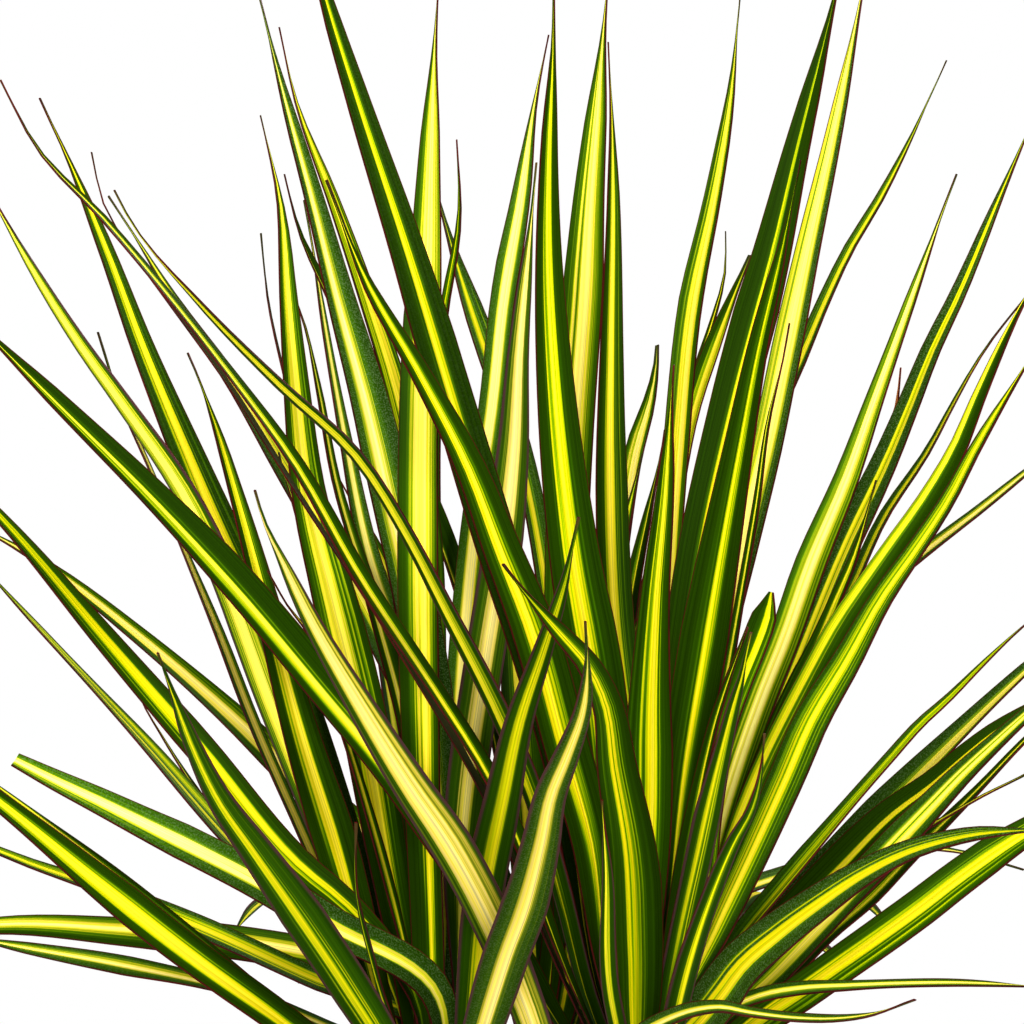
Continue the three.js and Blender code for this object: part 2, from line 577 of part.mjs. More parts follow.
// A thin channelled blade: three points across on each face, and both faces split alike
function makeBlade(leaf) {
  const places = [];
  for (const share of BLADE_STEPS) {
    const { point, normal, sideways } = bladeFrame(leaf, share);
    const half = halfWidth(leaf, share);
    const rise = half * CHANNEL_RISE;
    for (const drop of [0, BLADE_THICKNESS]) {
      for (const across of [-1, 0, 1]) {
        const corner = point.clone().addScaledVector(sideways, across * half);
        corner.addScaledVector(normal, Math.abs(across) * rise - drop);
        places.push(corner.x, corner.y, corner.z);
      }
    }
  }
  const triangles = [];
  const quad = (a, b, c, d) => triangles.push(a, b, c, a, c, d);
  const quadTurned = (a, b, c, d) => triangles.push(a, c, b, a, d, c);
  const last = (BLADE_STEPS.length - 1) * 6;
  for (let row = 0; row < last; row += 6) {
    const next = row + 6;
    for (const side of [0, 1]) {
      quad(row + side, row + side + 1, next + side + 1, next + side);
      quadTurned(row + side + 3, row + side + 4, next + side + 4, next + side + 3);
    }
    quad(row, next, next + 3, row + 3);
    quadTurned(row + 2, next + 2, next + 5, row + 5);
  }
  for (const side of [0, 1]) {
    quadTurned(side, side + 1, side + 4, side + 3);
    quad(last + side, last + side + 1, last + side + 4, last + side + 3);
  }
  const geometry = new THREE.BufferGeometry();
  geometry.setAttribute("position", new THREE.Float32BufferAttribute(places, 3));
  geometry.setIndex(triangles);
  return geometry;
}

function makeStem(name) {
  const [x, y] = CROWN_AXES[name];
  const profile = [
    [0, CANE_TOP + FIT_GAP],
    [STEM_BOTTOM_RADIUS, CANE_TOP + FIT_GAP],
    [STEM_TOP_RADIUS, STEM_TOP - STEM_ROUNDING],
    [0, STEM_TOP],
  ];
  const stem = turned(profile, STEM_SIDES);
  stem.translate(x, y, 0);
  return stem;
}

// One closed body: hollows that the leaves seal between them are filled, and scraps dropped
function largestBody(solid) {
  const bodies = solid.decompose();
  bodies.sort((a, b) => b.volume() - a.volume());
  return bodies[0];
}

function makeCrown(name, leaves) {
  let crown = solidOf(makeStem(name));
  for (const leaf of leaves.filter((one) => one.crown === name)) {
    crown = crown.add(solidOf(makeBlade(leaf)));
  }
  return geometryOf(largestBody(crown.simplify(SIMPLE_WITHIN)));
}

function allLeaves() {
  const drawn = LEAVES.map(drawnLeaf);
  easeLayers(drawn);
  const arching = [];
  for (const age of Object.keys(ARCHING)) {
    for (const crown of Object.keys(SECTORS[age])) {
      for (let number = 0; number < ARCHING[age].count; number += 1) {
        arching.push(archingLeaf(age, crown, number));
      }
    }
  }
  return [...drawn, ...arching];
}

function addPart(group, name, geometry, material) {
  const mesh = new THREE.Mesh(geometry, material);
  mesh.name = name;
  group.add(mesh);
}

const plant = new THREE.Group();
const leaves = allLeaves();
addPart(plant, "pot", makePot(), matte(COLOURS.clay, 0.9));
addPart(plant, "soil", makeSoil(), matte(COLOURS.soil, 1));
for (const name of Object.keys(CROWN_AXES)) {
  addPart(plant, `cane_${name}`, makeCane(name), matte(COLOURS.cane, 0.85));
  addPart(plant, `crown_${name}`, makeCrown(name, leaves), matte(COLOURS.leaf, 0.45));
}

export default plant;
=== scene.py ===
import math
import random
from functools import partial

import bmesh
import bpy
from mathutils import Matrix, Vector, noise


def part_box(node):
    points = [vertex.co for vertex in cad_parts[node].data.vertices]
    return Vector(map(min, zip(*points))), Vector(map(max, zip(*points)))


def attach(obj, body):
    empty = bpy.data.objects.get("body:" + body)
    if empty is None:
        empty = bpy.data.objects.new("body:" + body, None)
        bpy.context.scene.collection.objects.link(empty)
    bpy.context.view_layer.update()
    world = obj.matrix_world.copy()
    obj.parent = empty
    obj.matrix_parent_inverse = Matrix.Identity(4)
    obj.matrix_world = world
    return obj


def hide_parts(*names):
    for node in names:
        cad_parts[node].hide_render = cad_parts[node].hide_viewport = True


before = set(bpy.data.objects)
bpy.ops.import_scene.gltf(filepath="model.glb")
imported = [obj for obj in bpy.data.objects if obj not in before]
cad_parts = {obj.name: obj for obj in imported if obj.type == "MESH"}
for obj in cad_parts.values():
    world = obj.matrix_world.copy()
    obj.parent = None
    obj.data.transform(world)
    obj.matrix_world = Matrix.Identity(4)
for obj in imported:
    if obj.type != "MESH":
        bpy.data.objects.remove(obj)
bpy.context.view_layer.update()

bl_info = {
    "name": "Potted Dragon Tree",
    "version": (1, 0, 0),
    "blender": (4, 5, 0),
    "location": "3D View > Sidebar > Plant",
    "description": "Builds the leaves, canes, soil and clay pot of a striped dragon tree",
    "category": "Object",
}

MM = 0.001
ROOT_BODY = "root"

# Leaf routes are drawn on an upright grid through the pot's axis, as seen from the eye point in
# front of the plant: columns count to the right and rows count down. All sizes here are in mm.
GRID = 0.375
GRID_COLUMNS = 1024
AXIS_COLUMN = 540
STEM_TOP_ROW = 1060
STEM_TOP_ROW_HEIGHT = 290
EYE = Vector((-10.5, -1300, 495.5))

# Stem axes at leaf height, and how a leaf grows from its stem
CROWN_AXES = {"left": (-41, -20), "right": (42, -20), "back": (0, 36)}
ROOT_TOP = 282
ROOT_SPREAD = 45
ROOT_RADIUS = 2

# Widths along a blade, as shares of its length and of its full width
ROOT_HALF_WIDTH = 5
NECK_SHARE = 0.13
NECK_WIDTH = 0.75
FULL_WIDTH_SHARE = 0.4
TIP_WIDTH = 0.07
TAPER_POWER = 0.88

# From here on a leaf runs out into a needle-fine tip, on which the green closes over the stripe
TIP_START = 0.86
TIP_POINT = 0.8
TIP_GREENING = 0.7

# Up to here the green closes over the stripe from the root, partly the leaf's own greener base
# and partly painted shade of the crown's dense heart
ROOT_END = 0.48
ROOT_GREENING_AND_SHADE = 0.8

# How a leaf reaches forward, leaves its natural lie and turns towards its tip
REACH_POWER = 1.5
UNTWIST_SHARE = 0.3
TIP_TURN_START = 0.45
TIP_TURN_SPAN = 0.4
SLOPE_STEP = 0.01

# The edges rise in a channel and ripple a little
CHANNEL_POWER = 1.2
RIPPLE_RISE = 0.3
RIPPLE_WAVES = 19
RIPPLE_FADE = 4

# Each leaf: its crown, full width, share of its length in which the tip tapers, how far the tip
# reaches towards the front, its turn in degrees at mid length and at the tip, and its route from
# the stem to the tip as "column,row" places. A turn of 0 shows the upper face to the front, 90 an
# edge and 180 the underside.
LEAVES = (
    # Left fan, from the top down
    ("right", 14, 0.5, 40, 66, 66,
     "570,980 487,775 437,695 361,580 292,460 234,380 172,300 104,219 38,149 1,80"),
    ("left", 20.5, 0.5, -120, 30, 32,
     "400,1040 325,800 272,650 222,540 184,450 143,350 106,250 64,150 50,120 40,98"),
    ("right", 4, 0.5, 0, 60, 60,
     "566,985 480,785 390,635 303,500 226,380 165,297 128,245 105,205 92,152"),
    ("back", 18, 0.5, -150, 40, 42,
     "540,1030 478,840 420,715 345,570 280,462 231,380 175,300 145,252 108,196"),
    ("right", 13, 0.75, 150, 130, 132,
     "612,1060 589,1000 563,900 530,790 499,715 445,608 408,537 355,455 280,385 200,303 128,215 "
     "115,190"),
    ("left", 14.5, 0.5, -20, 142, 138,
     "400,1010 330,850 270,700 225,580 188,500 120,400 84,350 22,250 -5,200 -30,150"),
    ("right", 16, 0.35, 110, 33, 40,
     "575,1050 520,960 440,840 385,762 320,683 240,588 152,494 54,398 2,347 -60,285"),
    ("left", 9, 0.5, -90, 60, 62,
     "400,1030 345,930 300,830 250,715 221,640 188,560 146,458 120,400 98,332"),
    ("left", 17, 0.6, 10, 22, 28,
     "395,1060 364,950 336,850 302,740 265,600 238,500 214,420 199,380 187,353"),
    ("left", 5, 0.4, 40, 50, 50, "420,1040 365,800 330,690 310,635 288,605 268,570"),
    ("left", 13.5, 0.45, 40, 35, 38,
     "410,985 345,905 300,868 200,750 100,634 0,517 -60,455 -110,410"),
    ("back", 16, 0.5, -110, 35, 45, "500,960 390,860 285,768 235,720 140,637 50,568 -60,505"),
    ("left", 13.5, 0.5, -170, 58, 60, "390,1040 300,915 223,833 148,747 97,691 -3,582 -33,550"),
    ("left", 6, 0.5, -120, 60, 60, "390,1040 290,890 232,838 195,788 163,737 138,690 132,670"),
    ("left", 14.5, 0.41, 60, 28, 30,
     "430,985 330,925 256,881 200,852 150,827 100,802 50,778 15,760"),
    ("left", 15, 0.45, 130, 35, 40, "395,1110 285,1024 200,963 100,885 0,803 -90,735 -150,700"),
    ("left", 8, 0.45, 90, 55, 55, "400,1105 290,1020 200,943 100,863 50,825 0,788 -60,745"),
    ("left", 11, 0.45, 0, 45, 48, "430,1030 310,978 210,932 120,895 40,867 -40,838 -120,830"),
    ("left", 14, 0.45, -120, 22, 30, "430,990 320,958 240,944 120,932 0,926 -110,940 -190,975"),
    ("left", 9, 0.3, -40, 65, 20, "430,1075 330,1028 240,993 120,965 0,943 -60,930"),
    # Upright leaves above the left stem
    ("left", 19, 0.42, -110, 30, 35,
     "440,1030 413,600 394,512 368,400 340,300 314,200 286,100 256,-15"),
    ("left", 14, 0.45, -120, 30, 35,
     "438,1030 430,700 420,500 399,400 368,300 333,200 296,100 280,27"),
    ("left", 19, 0.5, -70, 27, 32,
     "420,1050 385,850 362,720 333,600 309,500 295,380 288,300 280,200 261,115"),
    ("back", 10, 0.4, -85, 45, 48,
     "540,1010 510,800 462,590 420,480 376,400 332,300 300,232 285,174"),
    ("left", 4, 0.5, -100, 60, 60, "425,1030 330,600 290,400 268,295 261,233"),
    ("left", 9, 0.45, -60, 45, 48, "432,1040 400,700 372,600 336,480 318,385 300,310 292,290"),
    ("back", 15, 0.6, -170, 35, 45,
     "540,1010 515,920 476,840 436,745 399,645 370,560 345,440 329,350 314,256 304,200"),
    ("left", 16, 0.3, -60, 25, 30,
     "430,1040 422,750 419,550 420,400 427,250 430,150 434,50 438,-20"),
    ("left", 7, 0.4, -200, 50, 50, "440,1030 436,650 444,315 459,215 456,140"),
    ("left", 12, 0.2, -190, 30, 35,
     "450,1000 460,700 476,520 493,400 504,300 521,200 535,100 548,35"),
    ("left", 16, 0.38, -60, 158, 155,
     "452,1010 466,800 487,650 503,550 514,450 519,350 528,250 537,163"),
    ("left", 10, 0.4, -200, 40, 40, "440,1070 422,950 414,850 400,765 381,650 362,560 355,520"),
    ("left", 11, 0.5, -200, 40, 40, "410,1060 398,1024 370,930 340,820 325,760"),
    ("left", 10, 0.4, -150, 40, 40, "420,1060 397,950 377,850 364,750 358,700"),
    # Upright leaves above the right and back stems
    ("right", 18, 0.5, 80, 24, 32,
     "612,1020 590,835 566,750 532,628 501,550 470,470 419,372 366,280 326,180"),
    ("right", 17.5, 0.38, 30, 28, 32,
     "600,1000 560,760 530,650 500,560 451,400 406,250 357,100 326,0 290,-150"),
    ("back", 12, 0.5, -230, 40, 42, "565,1000 562,740 545,575 520,450 486,350 455,256 439,200"),
    ("right", 21, 0.57, 70, 12, 22,
     "622,1070 613,900 598,700 573,550 556,400 548,250 549,150 553,50 553,-25"),
    ("back", 18, 0.28, -90, 25, 30,
     "562,1010 566,760 570,500 574,430 584,300 590,200 598,100 608,-30"),
    ("right", 15, 0.4, -160, 30, 35,
     "645,1050 636,800 614,600 610,450 611,350 613,200 612,120 609,42"),
    ("right", 18, 0.5, 90, 20, 30, "645,1060 650,800 651,700 656,600 665,500 671,400 673,365"),
    ("back", 11, 0.25, -260, 40, 42, "560,1010 604,720 624,520 637,445 650,400 656,365 657,345"),
    ("back", 11, 0.3, -150, 42, 44, "575,1010 600,800 622,660 634,580 648,512 661,450 664,430"),
    ("right", 12, 0.27, -110, 35, 38,
     "662,1030 664,760 667,600 677,450 692,300 713,200 730,100 740,-10"),
    ("back", 7, 0.5, -240, 50, 50, "575,1000 640,620 672,480 697,370 713,320 725,270 725,231"),
    ("back", 10, 0.4, -200, 40, 42, "590,1000 645,650 670,520 695,400 713,347 731,300 750,255"),
    ("right", 19, 0.32, -60, 25, 30,
     "660,1040 680,720 702,550 735,400 774,250 797,150 822,50 834,0 846,-60"),
    ("right", 19, 0.5, 60, 22, 30,
     "655,1040 668,920 685,765 703,655 720,555 739,450 758,350 784,240 800,160"),
    ("right", 15, 0.33, -130, 35, 38,
     "680,1000 700,800 721,640 745,540 767,450 788,350 809,250 831,150 851,50 871,-60"),
    ("right", 6, 0.5, 0, 40, 40, "680,1000 712,760 740,600 757,500 768,420 783,356 789,323"),
    ("back", 13, 0.4, -220, 48, 48,
     "600,960 660,680 715,540 765,430 797,365 825,300 849,250 879,200 905,150 946,60"),
    ("right", 7, 0.4, 120, 150, 150, "625,1060 612,1000 607,860 603,800"),
    # Right fan, from the top down
    ("right", 15, 0.42, -50, 38, 40,
     "680,1010 728,800 762,700 786,640 814,560 847,480 875,400 893,350 911,300 947,200 957,174"),
    ("right", 15, 0.4, -170, 38, 42,
     "700,960 760,760 803,650 844,550 891,450 911,402 932,350 956,300 998,200 1045,90"),
    ("right", 8, 0.2, -130, 40, 60,
     "690,1000 760,740 800,655 829,597 859,520 882,455 895,412 900,368"),
    ("right", 10, 0.3, 10, 40, 45,
     "680,1010 722,880 766,760 796,690 815,650 836,600 853,560 868,510 876,480"),
    ("back", 12, 0.5, -210, 60, 60,
     "610,970 740,760 800,680 848,595 884,517 928,450 955,400 983,352 1035,285"),
    ("right", 15, 0.45, 20, 40, 45,
     "690,1000 762,790 815,682 846,625 877,578 896,550 930,500 958,450 978,400 1019,310 1060,240"),
    ("right", 15.5, 0.52, 110, 38, 50,
     "665,1050 719,928 752,859 788,780 813,722 849,660 882,600 918,548 949,500 975,450 1024,367 "
     "1050,325"),
    ("back", 12, 0.4, -130, 50, 50,
     "600,950 720,745 800,655 850,612 895,575 940,540 977,512 1024,474 1110,405"),
    ("right", 11, 0.06, 60, 30, 30, "690,1000 713,790 726,720 740,680 756,641 765,616 771,592"),
    ("right", 10.5, 0.35, 130, 150, 150,
     "662,1050 681,941 701,850 720,762 735,700 742,675 747,650 751,632"),
    ("right", 8, 0.4, 100, 40, 40,
     "660,1040 676,920 690,835 705,760 715,720 728,680 742,642 747,627"),
    ("right", 10, 0.5, 190, 140, 140, "680,1000 708,905 735,840 750,812 762,755 764,733"),
    ("right", 9, 0.5, 40, 52, 55,
     "670,1040 728,950 777,889 833,823 890,758 922,722 945,701 985,661 1024,625 1060,597"),
    ("right", 15, 0.4, -15, 42, 45,
     "680,1050 745,955 790,905 823,871 887,804 926,764 966,725 1030,665 1100,603"),
    ("right", 15, 0.45, 15, 38, 40,
     "680,1050 760,950 805,900 841,863 891,813 931,783 961,757 991,733 1035,705 1100,660"),
    ("right", 15, 0.42, 50, 42, 45,
     "690,1060 780,968 830,915 885,857 930,809 960,777 1000,739 1060,685 1120,630"),
    ("right", 9, 0.45, -40, 45, 50,
     "690,1070 740,1020 790,973 830,933 870,899 912,855 945,822 980,787 1024,741 1090,680"),
    ("right", 7, 0.5, 15, 60, 60, "690,1050 800,900 900,843 945,817 980,797 1024,775 1045,764"),
    ("back", 12, 0.5, -250, 50, 55,
     "620,980 700,908 740,890 780,876 825,861 880,851 930,848 962,852 1024,870"),
    ("right", 15.5, 0.32, 60, 30, 40,
     "690,1088 760,1022 800,995 840,967 880,939 920,910 960,879 1024,835 1090,800 1200,780"),
    ("right", 8, 0.5, 150, 55, 55,
     "690,1040 740,1004 765,995 800,989 850,986 900,984 960,983 1060,987"),
    # Leaves that arch over the front
    ("right", 20, 0.55, 220, 15, 20,
     "638,1080 635,950 630,850 616,768 605,700 586,662 563,636 538,608 512,577 503,565"),
    ("left", 16.5, 0.5, 220, 165, 160,
     "480,1040 493,999 508,953 523,913 541,844 551,795 567,755 582,712 587,657 586,621"),
    ("left", 15, 0.5, 180, 160, 160,
     "465,1080 474,1000 487,880 503,800 520,720 543,650 565,580 579,517"),
    ("right", 15, 0.5, 250, 165, 160,
     "560,1090 524,1000 500,940 448,841 413,790 357,700 311,620 282,560 263,520 254,490"),
    ("left", 15, 0.5, 250, 165, 160,
     "400,1075 348,985 308,925 255,850 220,800 195,750 175,700 157,652"),
    ("left", 4, 0.5, 110, 120, 120, "400,1050 375,970 358,895 356,822"),
    ("right", 18.5, 0.62, 230, 25, 38,
     "650,1060 690,1030 720,995 740,968 780,933 820,903 860,876 905,853 960,837 1065,828"),
    ("right", 8, 0.6, 280, 48, 50,
     "640,1035 666,1020 694,1010 721,1007 748,1012 800,1018 840,1018 870,1014 915,999"),
    # One more upright leaf in front of those above the left stem
    ("left", 10, 0.5, -40, 35, 38,
     "425,1030 400,850 365,720 331,620 305,540 293,500 282,465 279,452"),
)

# The colouring of each leaf in the same order: the stripe's half width and its shift to one side,
# both as shares of the half blade, then its hue from -1 for lime to 1 for cream, how much pale
# speckle lies on the margins, partly mineral dust and partly painted glints and sheen, and from
# which share on it is dry. What a row leaves out is as in the plain look
PLAIN_LOOK = (0.34, 0, 0.1, 0, 0.99)
LOOKS = (
    # Left fan
    (0.25,), (0.36, 0.05, 0, 0.05), (0.1, 0, 0.2, 0, 0), (0.4, 0, 0.3, 0.15), (0.35,),
    (0.6, 0, 0.3), (0.24, -0.25), (0.5, 0, 0.7, 0.1, 0.98), (0.32, 0, 0.1, 0, 0.98),
    (0.3, 0, 0.1, 0, 0.97), (0.5, 0, -0.5), (0.5, 0.05, 0.8), (0.6, 0, -0.45, 0.1),
    (0.12, 0, 0.1, 0, 0.97), (0.52, 0, 1.15, 0.15, 1.3), (0.36, 0, 0), (0.3, 0, 0.1, 0, 0.98),
    (0.45, 0, -0.2, 0.15), (0.4, 0.2, 0.8), (0.4, 0, 0.9, 0.1),
    # Upright, left
    (0.34, -0.15, 1.15, 0.2), (0.6,), (0.5, 0, 0.2), (0.12, -0.7, 0.4, 0, 0.98),
    (0.1, 0, 0.3, 0, 0), (0.3, 0, 0.5, 0, 0.98), (0.4, 0, 0.7, 0.2), (0.62, 0.22, 0.65),
    (0.4, 0, -0.2), (0.5, 0.05, 1.15, 0.1), (0.55, 0, 0.8), (0.3, 0, 0.1, 0, 0.98),
    (0.3, 0, 0.1, 0, 0.98), (0.3, 0, 0.1, 0, 0.98),
    # Upright, right and back
    (0.32, 0, 0), (0.2, 0, -0.2, 0.03), (0.45, -0.1, -0.3, 0.15), (0.28, -0.05, 0),
    (0.56, 0, 0.6), (0.35,), (0.4, 0, -0.4), (0.55, 0.1, 0.8), (0.12, 0, 0.1, 0, 0.98),
    (0.6, 0.15, 0.25), (0.3, 0, -0.2), (0.5, 0.35), (0.12, 0, -0.2), (0.3, 0, -0.5),
    (0.6, -0.15, 0.6, 0.2), (0.3,), (0.4, 0.1, 0.1, 0.1), (0.3, 0, 0.1, 0, 0.98),
    # Right fan
    (0.6, 0.05, 0.75), (0.35, 0.15, 0, 0.2), (0.6, 0, 0.6, 0, 0.94), (0.4, 0, -0.1),
    (0.4, 0.2, -0.2, 0.1), (0.35, -0.6), (0.5, -0.15, 0, 0.05), (0.45, 0, 0.9, 0.15),
    (0.4, 0.35, -0.2, 0, 1.3), (0.4, 0, -0.5), (0.35, 0, -0.5), (0.25, 0, -0.3, 0, 0.98),
    (0.9, 0.2, -0.9, 0.06), (0.4, 0.35, 0.6, 0.14), (0.2, 0.2, -0.3), (0.4, 0, 0.5, 0.08), (0.3,),
    (0.3,), (0.4, 0, 0.6, 0.15), (0.42, 0, 0), (0.4, 0, 0.7, 0.1),
    # Over the front
    (0.4, -0.1, -0.5), (0.35, 0, 0.8, 0.1), (0.38, 0, -0.25), (0.6, 0, 0.85), (0.4, 0, -0.3),
    (0.3, 0, -0.2, 0, 0.9), (0.5, 0, -0.4, 0.18), (0.4, 0, 0.9, 0.15),
    # One more upright, left
    (0.35, 0, 0.5),
)

# Single leaves, by their place in the lists above. Blades that lost their tips: how much more of
# the leaf's length the tip would have taken
LOST_TIPS = {14: 0.14, 60: 0.03}

# This leaf's width closes in a round curve at its end, as on a leaf that folds over
BENT_TIP = 60
BEND_START = 0.94
BEND_LOSS = 0.9

# Leaves that keep more of their width towards the tip, as if they tapered to a point farther on
FULLER = {23: 0.05, 24: 0.1, 28: 0.12, 36: 0.35, 41: 0.2, 44: 0.12, 45: 0.35, 54: 0.1}

# Leaves on which the green and its painted shade reach farther up from the root, and leaves that
# get neither there
LONG_ROOTS = {14: 1.1, 27: 0.8, 28: 0.7}
PALE_ROOTS = (40, 57, 58, 71, 73, 74, 75, 76, 77, 79, 80)

# Leaves of neighbouring layers are eased apart until they clear each other
LAYER_GAP = 4
LAYER_SAMPLES = 28
LAYER_ROUNDS = 120
LAYER_SOFTNESS = 0.15
SHARED_ROOT = 0.22
LAYER_MARGIN = 1.5

# Leaves that arch out by rule, in sectors in degrees round the stem from +X: old ones droop under
# each crown, young ones rise at the back, and the youngest stand in the heart of the plant. The
# pairs run from a group's first leaf to its last
ARCHING = {
    "old": {
        "count": 8, "heights": (252, 214), "rises": (30, 12), "bends": (84, 98),
        "lengths": (320, 262),
    },
    "young": {
        "count": 3, "heights": (268, 262), "rises": (46, 40), "bends": (70, 82),
        "lengths": (330, 300),
    },
    "inner": {
        "count": 4, "heights": (286, 276), "rises": (84, 72), "bends": (18, 40),
        "lengths": (230, 280),
    },
}
SECTORS = {
    "old": {"left": (158, 262), "right": (278, 382), "back": (36, 144)},
    "young": {"left": (100, 114), "right": (66, 80), "back": (76, 104)},
    "inner": {"back": (45, 135)},
}
ARCH_WIDTHS = (13, 18)
ARCH_LENGTH_SPREAD = (0.96, 1.04)
ARCH_TAPER = 0.5
GOLDEN_SHARE = 0.618034

# Each kind of draw starts at its own whole number
DRAWS = {"length": 1, "bend": 21, "width": 41, "ripple": 61, "seed": 81}
DRAW_MIX = (12.9898, 78.233 * 7, 43758.5453)

# Green stems above the canes, wrapped in leaf bases
STEM_TOP = 304
STEM_ROUNDING = 8
STEM_RADIUS = 10
STEM_GAP = 0.3
STEM_RINGS = 60
STEM_STEPS = 32
WRAP_TURNS = 3
WRAP_HEIGHT = 9
WRAP_DEPTH = 0.09

# Woody canes: wavy scar rings, narrow and low, on a slightly lumpy bark
CANE_RADIUS = 9
CANE_STEPS = 32
CANE_FOOT_SHARE = 0.68
SCAR_SPACING = 8
SCAR_WAVE = 0.8
SCAR_WAVE_CLIMB = 0.11
SCAR_SHARPNESS = 7
SCAR_POWER = 1.5
SCAR_RISE = 0.075
BARK_RISE = 0.03
BARK_LUMPS = 9

# Clay pot: the drain holes through its floor, and its roundings as offsets outwards and upwards,
# from the foot over the band's lower edge and the rim to the inner edge
POT_FOOT_RADIUS = 60
POT_FLOOR = 9
BAND_DEPTH = 5
DRAIN_HOLES = 3
DRAIN_RADIUS = 6
DRAIN_CIRCLE = 30
DRAIN_STEPS = 24
FOOT_ROUNDING = ((-4, 0), (-2.2, 0.3), (-0.7, 1.2), (0, 2.6))
BAND_ROUNDING = ((0.3, -2.5), (1.4, -1.1), (3.4, -0.2), (4.5, 0.8), (5, 2.4))
RIM_ROUNDING = ((-0.6, -8), (0, -3), (-0.5, -1.2), (-1.8, -0.2), (-3, 0))
INNER_ROUNDING = ((2.6, 0), (1, -0.5), (0, -2))
FLOOR_COVE = 3

# Rings on the pot's walls: where they start or end, how far they keep from the band below it or
# from the rim, and how far apart they are
OUTER_LEVELS = (8, 3, 6)
INNER_LEVELS = (10, 12, 8)

# The clay wavers by this much outside this radius
CLAY_DRIFT = 0.35
CLAY_LUMPS = 22
DRIFT_START = 30

# Potting mix: a low dome with lumps as (height, width, level of the noise), and the bits on it as
# name: (finish, count, size, flatness)
SOIL_BASE_RADIUS = 52
SOIL_GAP = 0.4
SOIL_RINGS = 46
SOIL_STEPS = 120
SOIL_SHOULDER = 7
SOIL_SKIN = 4
SOIL_DROP = 3.2
SOIL_DOME = 2.5
SOIL_LUMPS = ((2.2, 14, 3.0), (1.0, 4.5, 9.0))
LUMP_FADE = 0.4
SOIL_BITS = {
    "bark_bits": ("pine_bark_bits", 150, 3.4, 0.45),
    "crumbs": ("peat_crumbs", 320, 1.9, 0.8),
    "grit": ("white_perlite", 90, 1.8, 0.9),
}
BIT_SIZES = (0.5, 1.3)
BIT_LUMPS = 0.35
BIT_WIDTH = 0.7
BIT_HEIGHT = 0.6
BIT_LIFT = 0.2
BIT_MARGIN = 4
BIT_SEED = 11

# Stage, in metres: each light's place and its share of the main light's power
FLOOR_RADIUS = 1.5
LIGHT_SIZE = 0.8
LIGHT_AIM = Vector((0.0, 0.0, 0.5))
LIGHTS = {
    "key_light": ((-1.4, -1.2, 1.9), 1.0),
    "fill_light": ((1.4, -1.3, 1.9), 0.9),
    "front_light": ((0.1, -2.3, 0.9), 0.45),
    "rim_light": ((0.6, 1.4, 1.7), 0.4),
}
SENSOR_WIDTH = 36

# Values that each leaf hands to its material: the half width in mm at full width and at each
# place, and the leaf's look
LEAF_VALUES = ("span", "half", "stripe", "shift", "pale", "dust_and_sheen", "dry", "seed")

# The ramps run from the middle of the stripe at 0 over its border at 0.4 to the far margin at 1.
# A line is the coloured edge of the blade, in mm and at most as a share of the half width
RAMP_SCALE = 0.4
UPPER_SIDE = {
    "vivid": (
        (0.0, "#F4E53A"), (0.17, "#EBD910"), (0.26, "#D0D000"), (0.35, "#A2B800"),
        (0.43, "#648C00"), (0.51, "#456C00"), (0.64, "#325400"), (1.0, "#274300"),
    ),
    "faded": (
        (0.0, "#FFF4A4"), (0.17, "#FBE97A"), (0.26, "#E6D63C"), (0.35, "#B8BC1C"),
        (0.43, "#749206"), (0.51, "#4C7400"), (0.64, "#365A00"), (1.0, "#294800"),
    ),
    # Pale speckle colour: partly mineral dust, partly painted glints and sheen
    "dust_and_sheen": "#9CB487",
    "edge": "#4A1412",
    "dry": "#3A3A20",
    "line": 0.4,
    "line_share": 0.2,
    "roughness": 0.45,
}
UNDER_SIDE = {
    "vivid": (
        (0.0, "#F6EE2C"), (0.18, "#ECE414"), (0.27, "#CCD208"), (0.35, "#9CB008"),
        (0.42, "#668A06"), (0.49, "#446C04"), (0.62, "#345A02"), (1.0, "#2A4C02"),
    ),
    "faded": (
        (0.0, "#FFF0AE"), (0.2, "#FAE482"), (0.28, "#DCCC4A"), (0.35, "#9CA030"),
        (0.41, "#6A8018"), (0.48, "#48680C"), (0.6, "#385806"), (1.0, "#2E4C04"),
    ),
    # Pale speckle colour: partly mineral dust, partly painted glints and sheen
    "dust_and_sheen": "#A8B090",
    "edge": "#55393A",
    "dry": "#5A4628",
    "line": 1.3,
    "line_share": 0.22,
    "roughness": 0.5,
}
GOLDEN_TINT = "#FFE2A0"
GOLDEN_MOST = 0.22
EARLY_DRY = 0.94
EARLY_DRY_COLOUR = "#D68A50"
LEAF_IOR = 1.45
LEAF_SPECULAR = 0.02
VEIN_RELIEF = (0.3, 0.15)

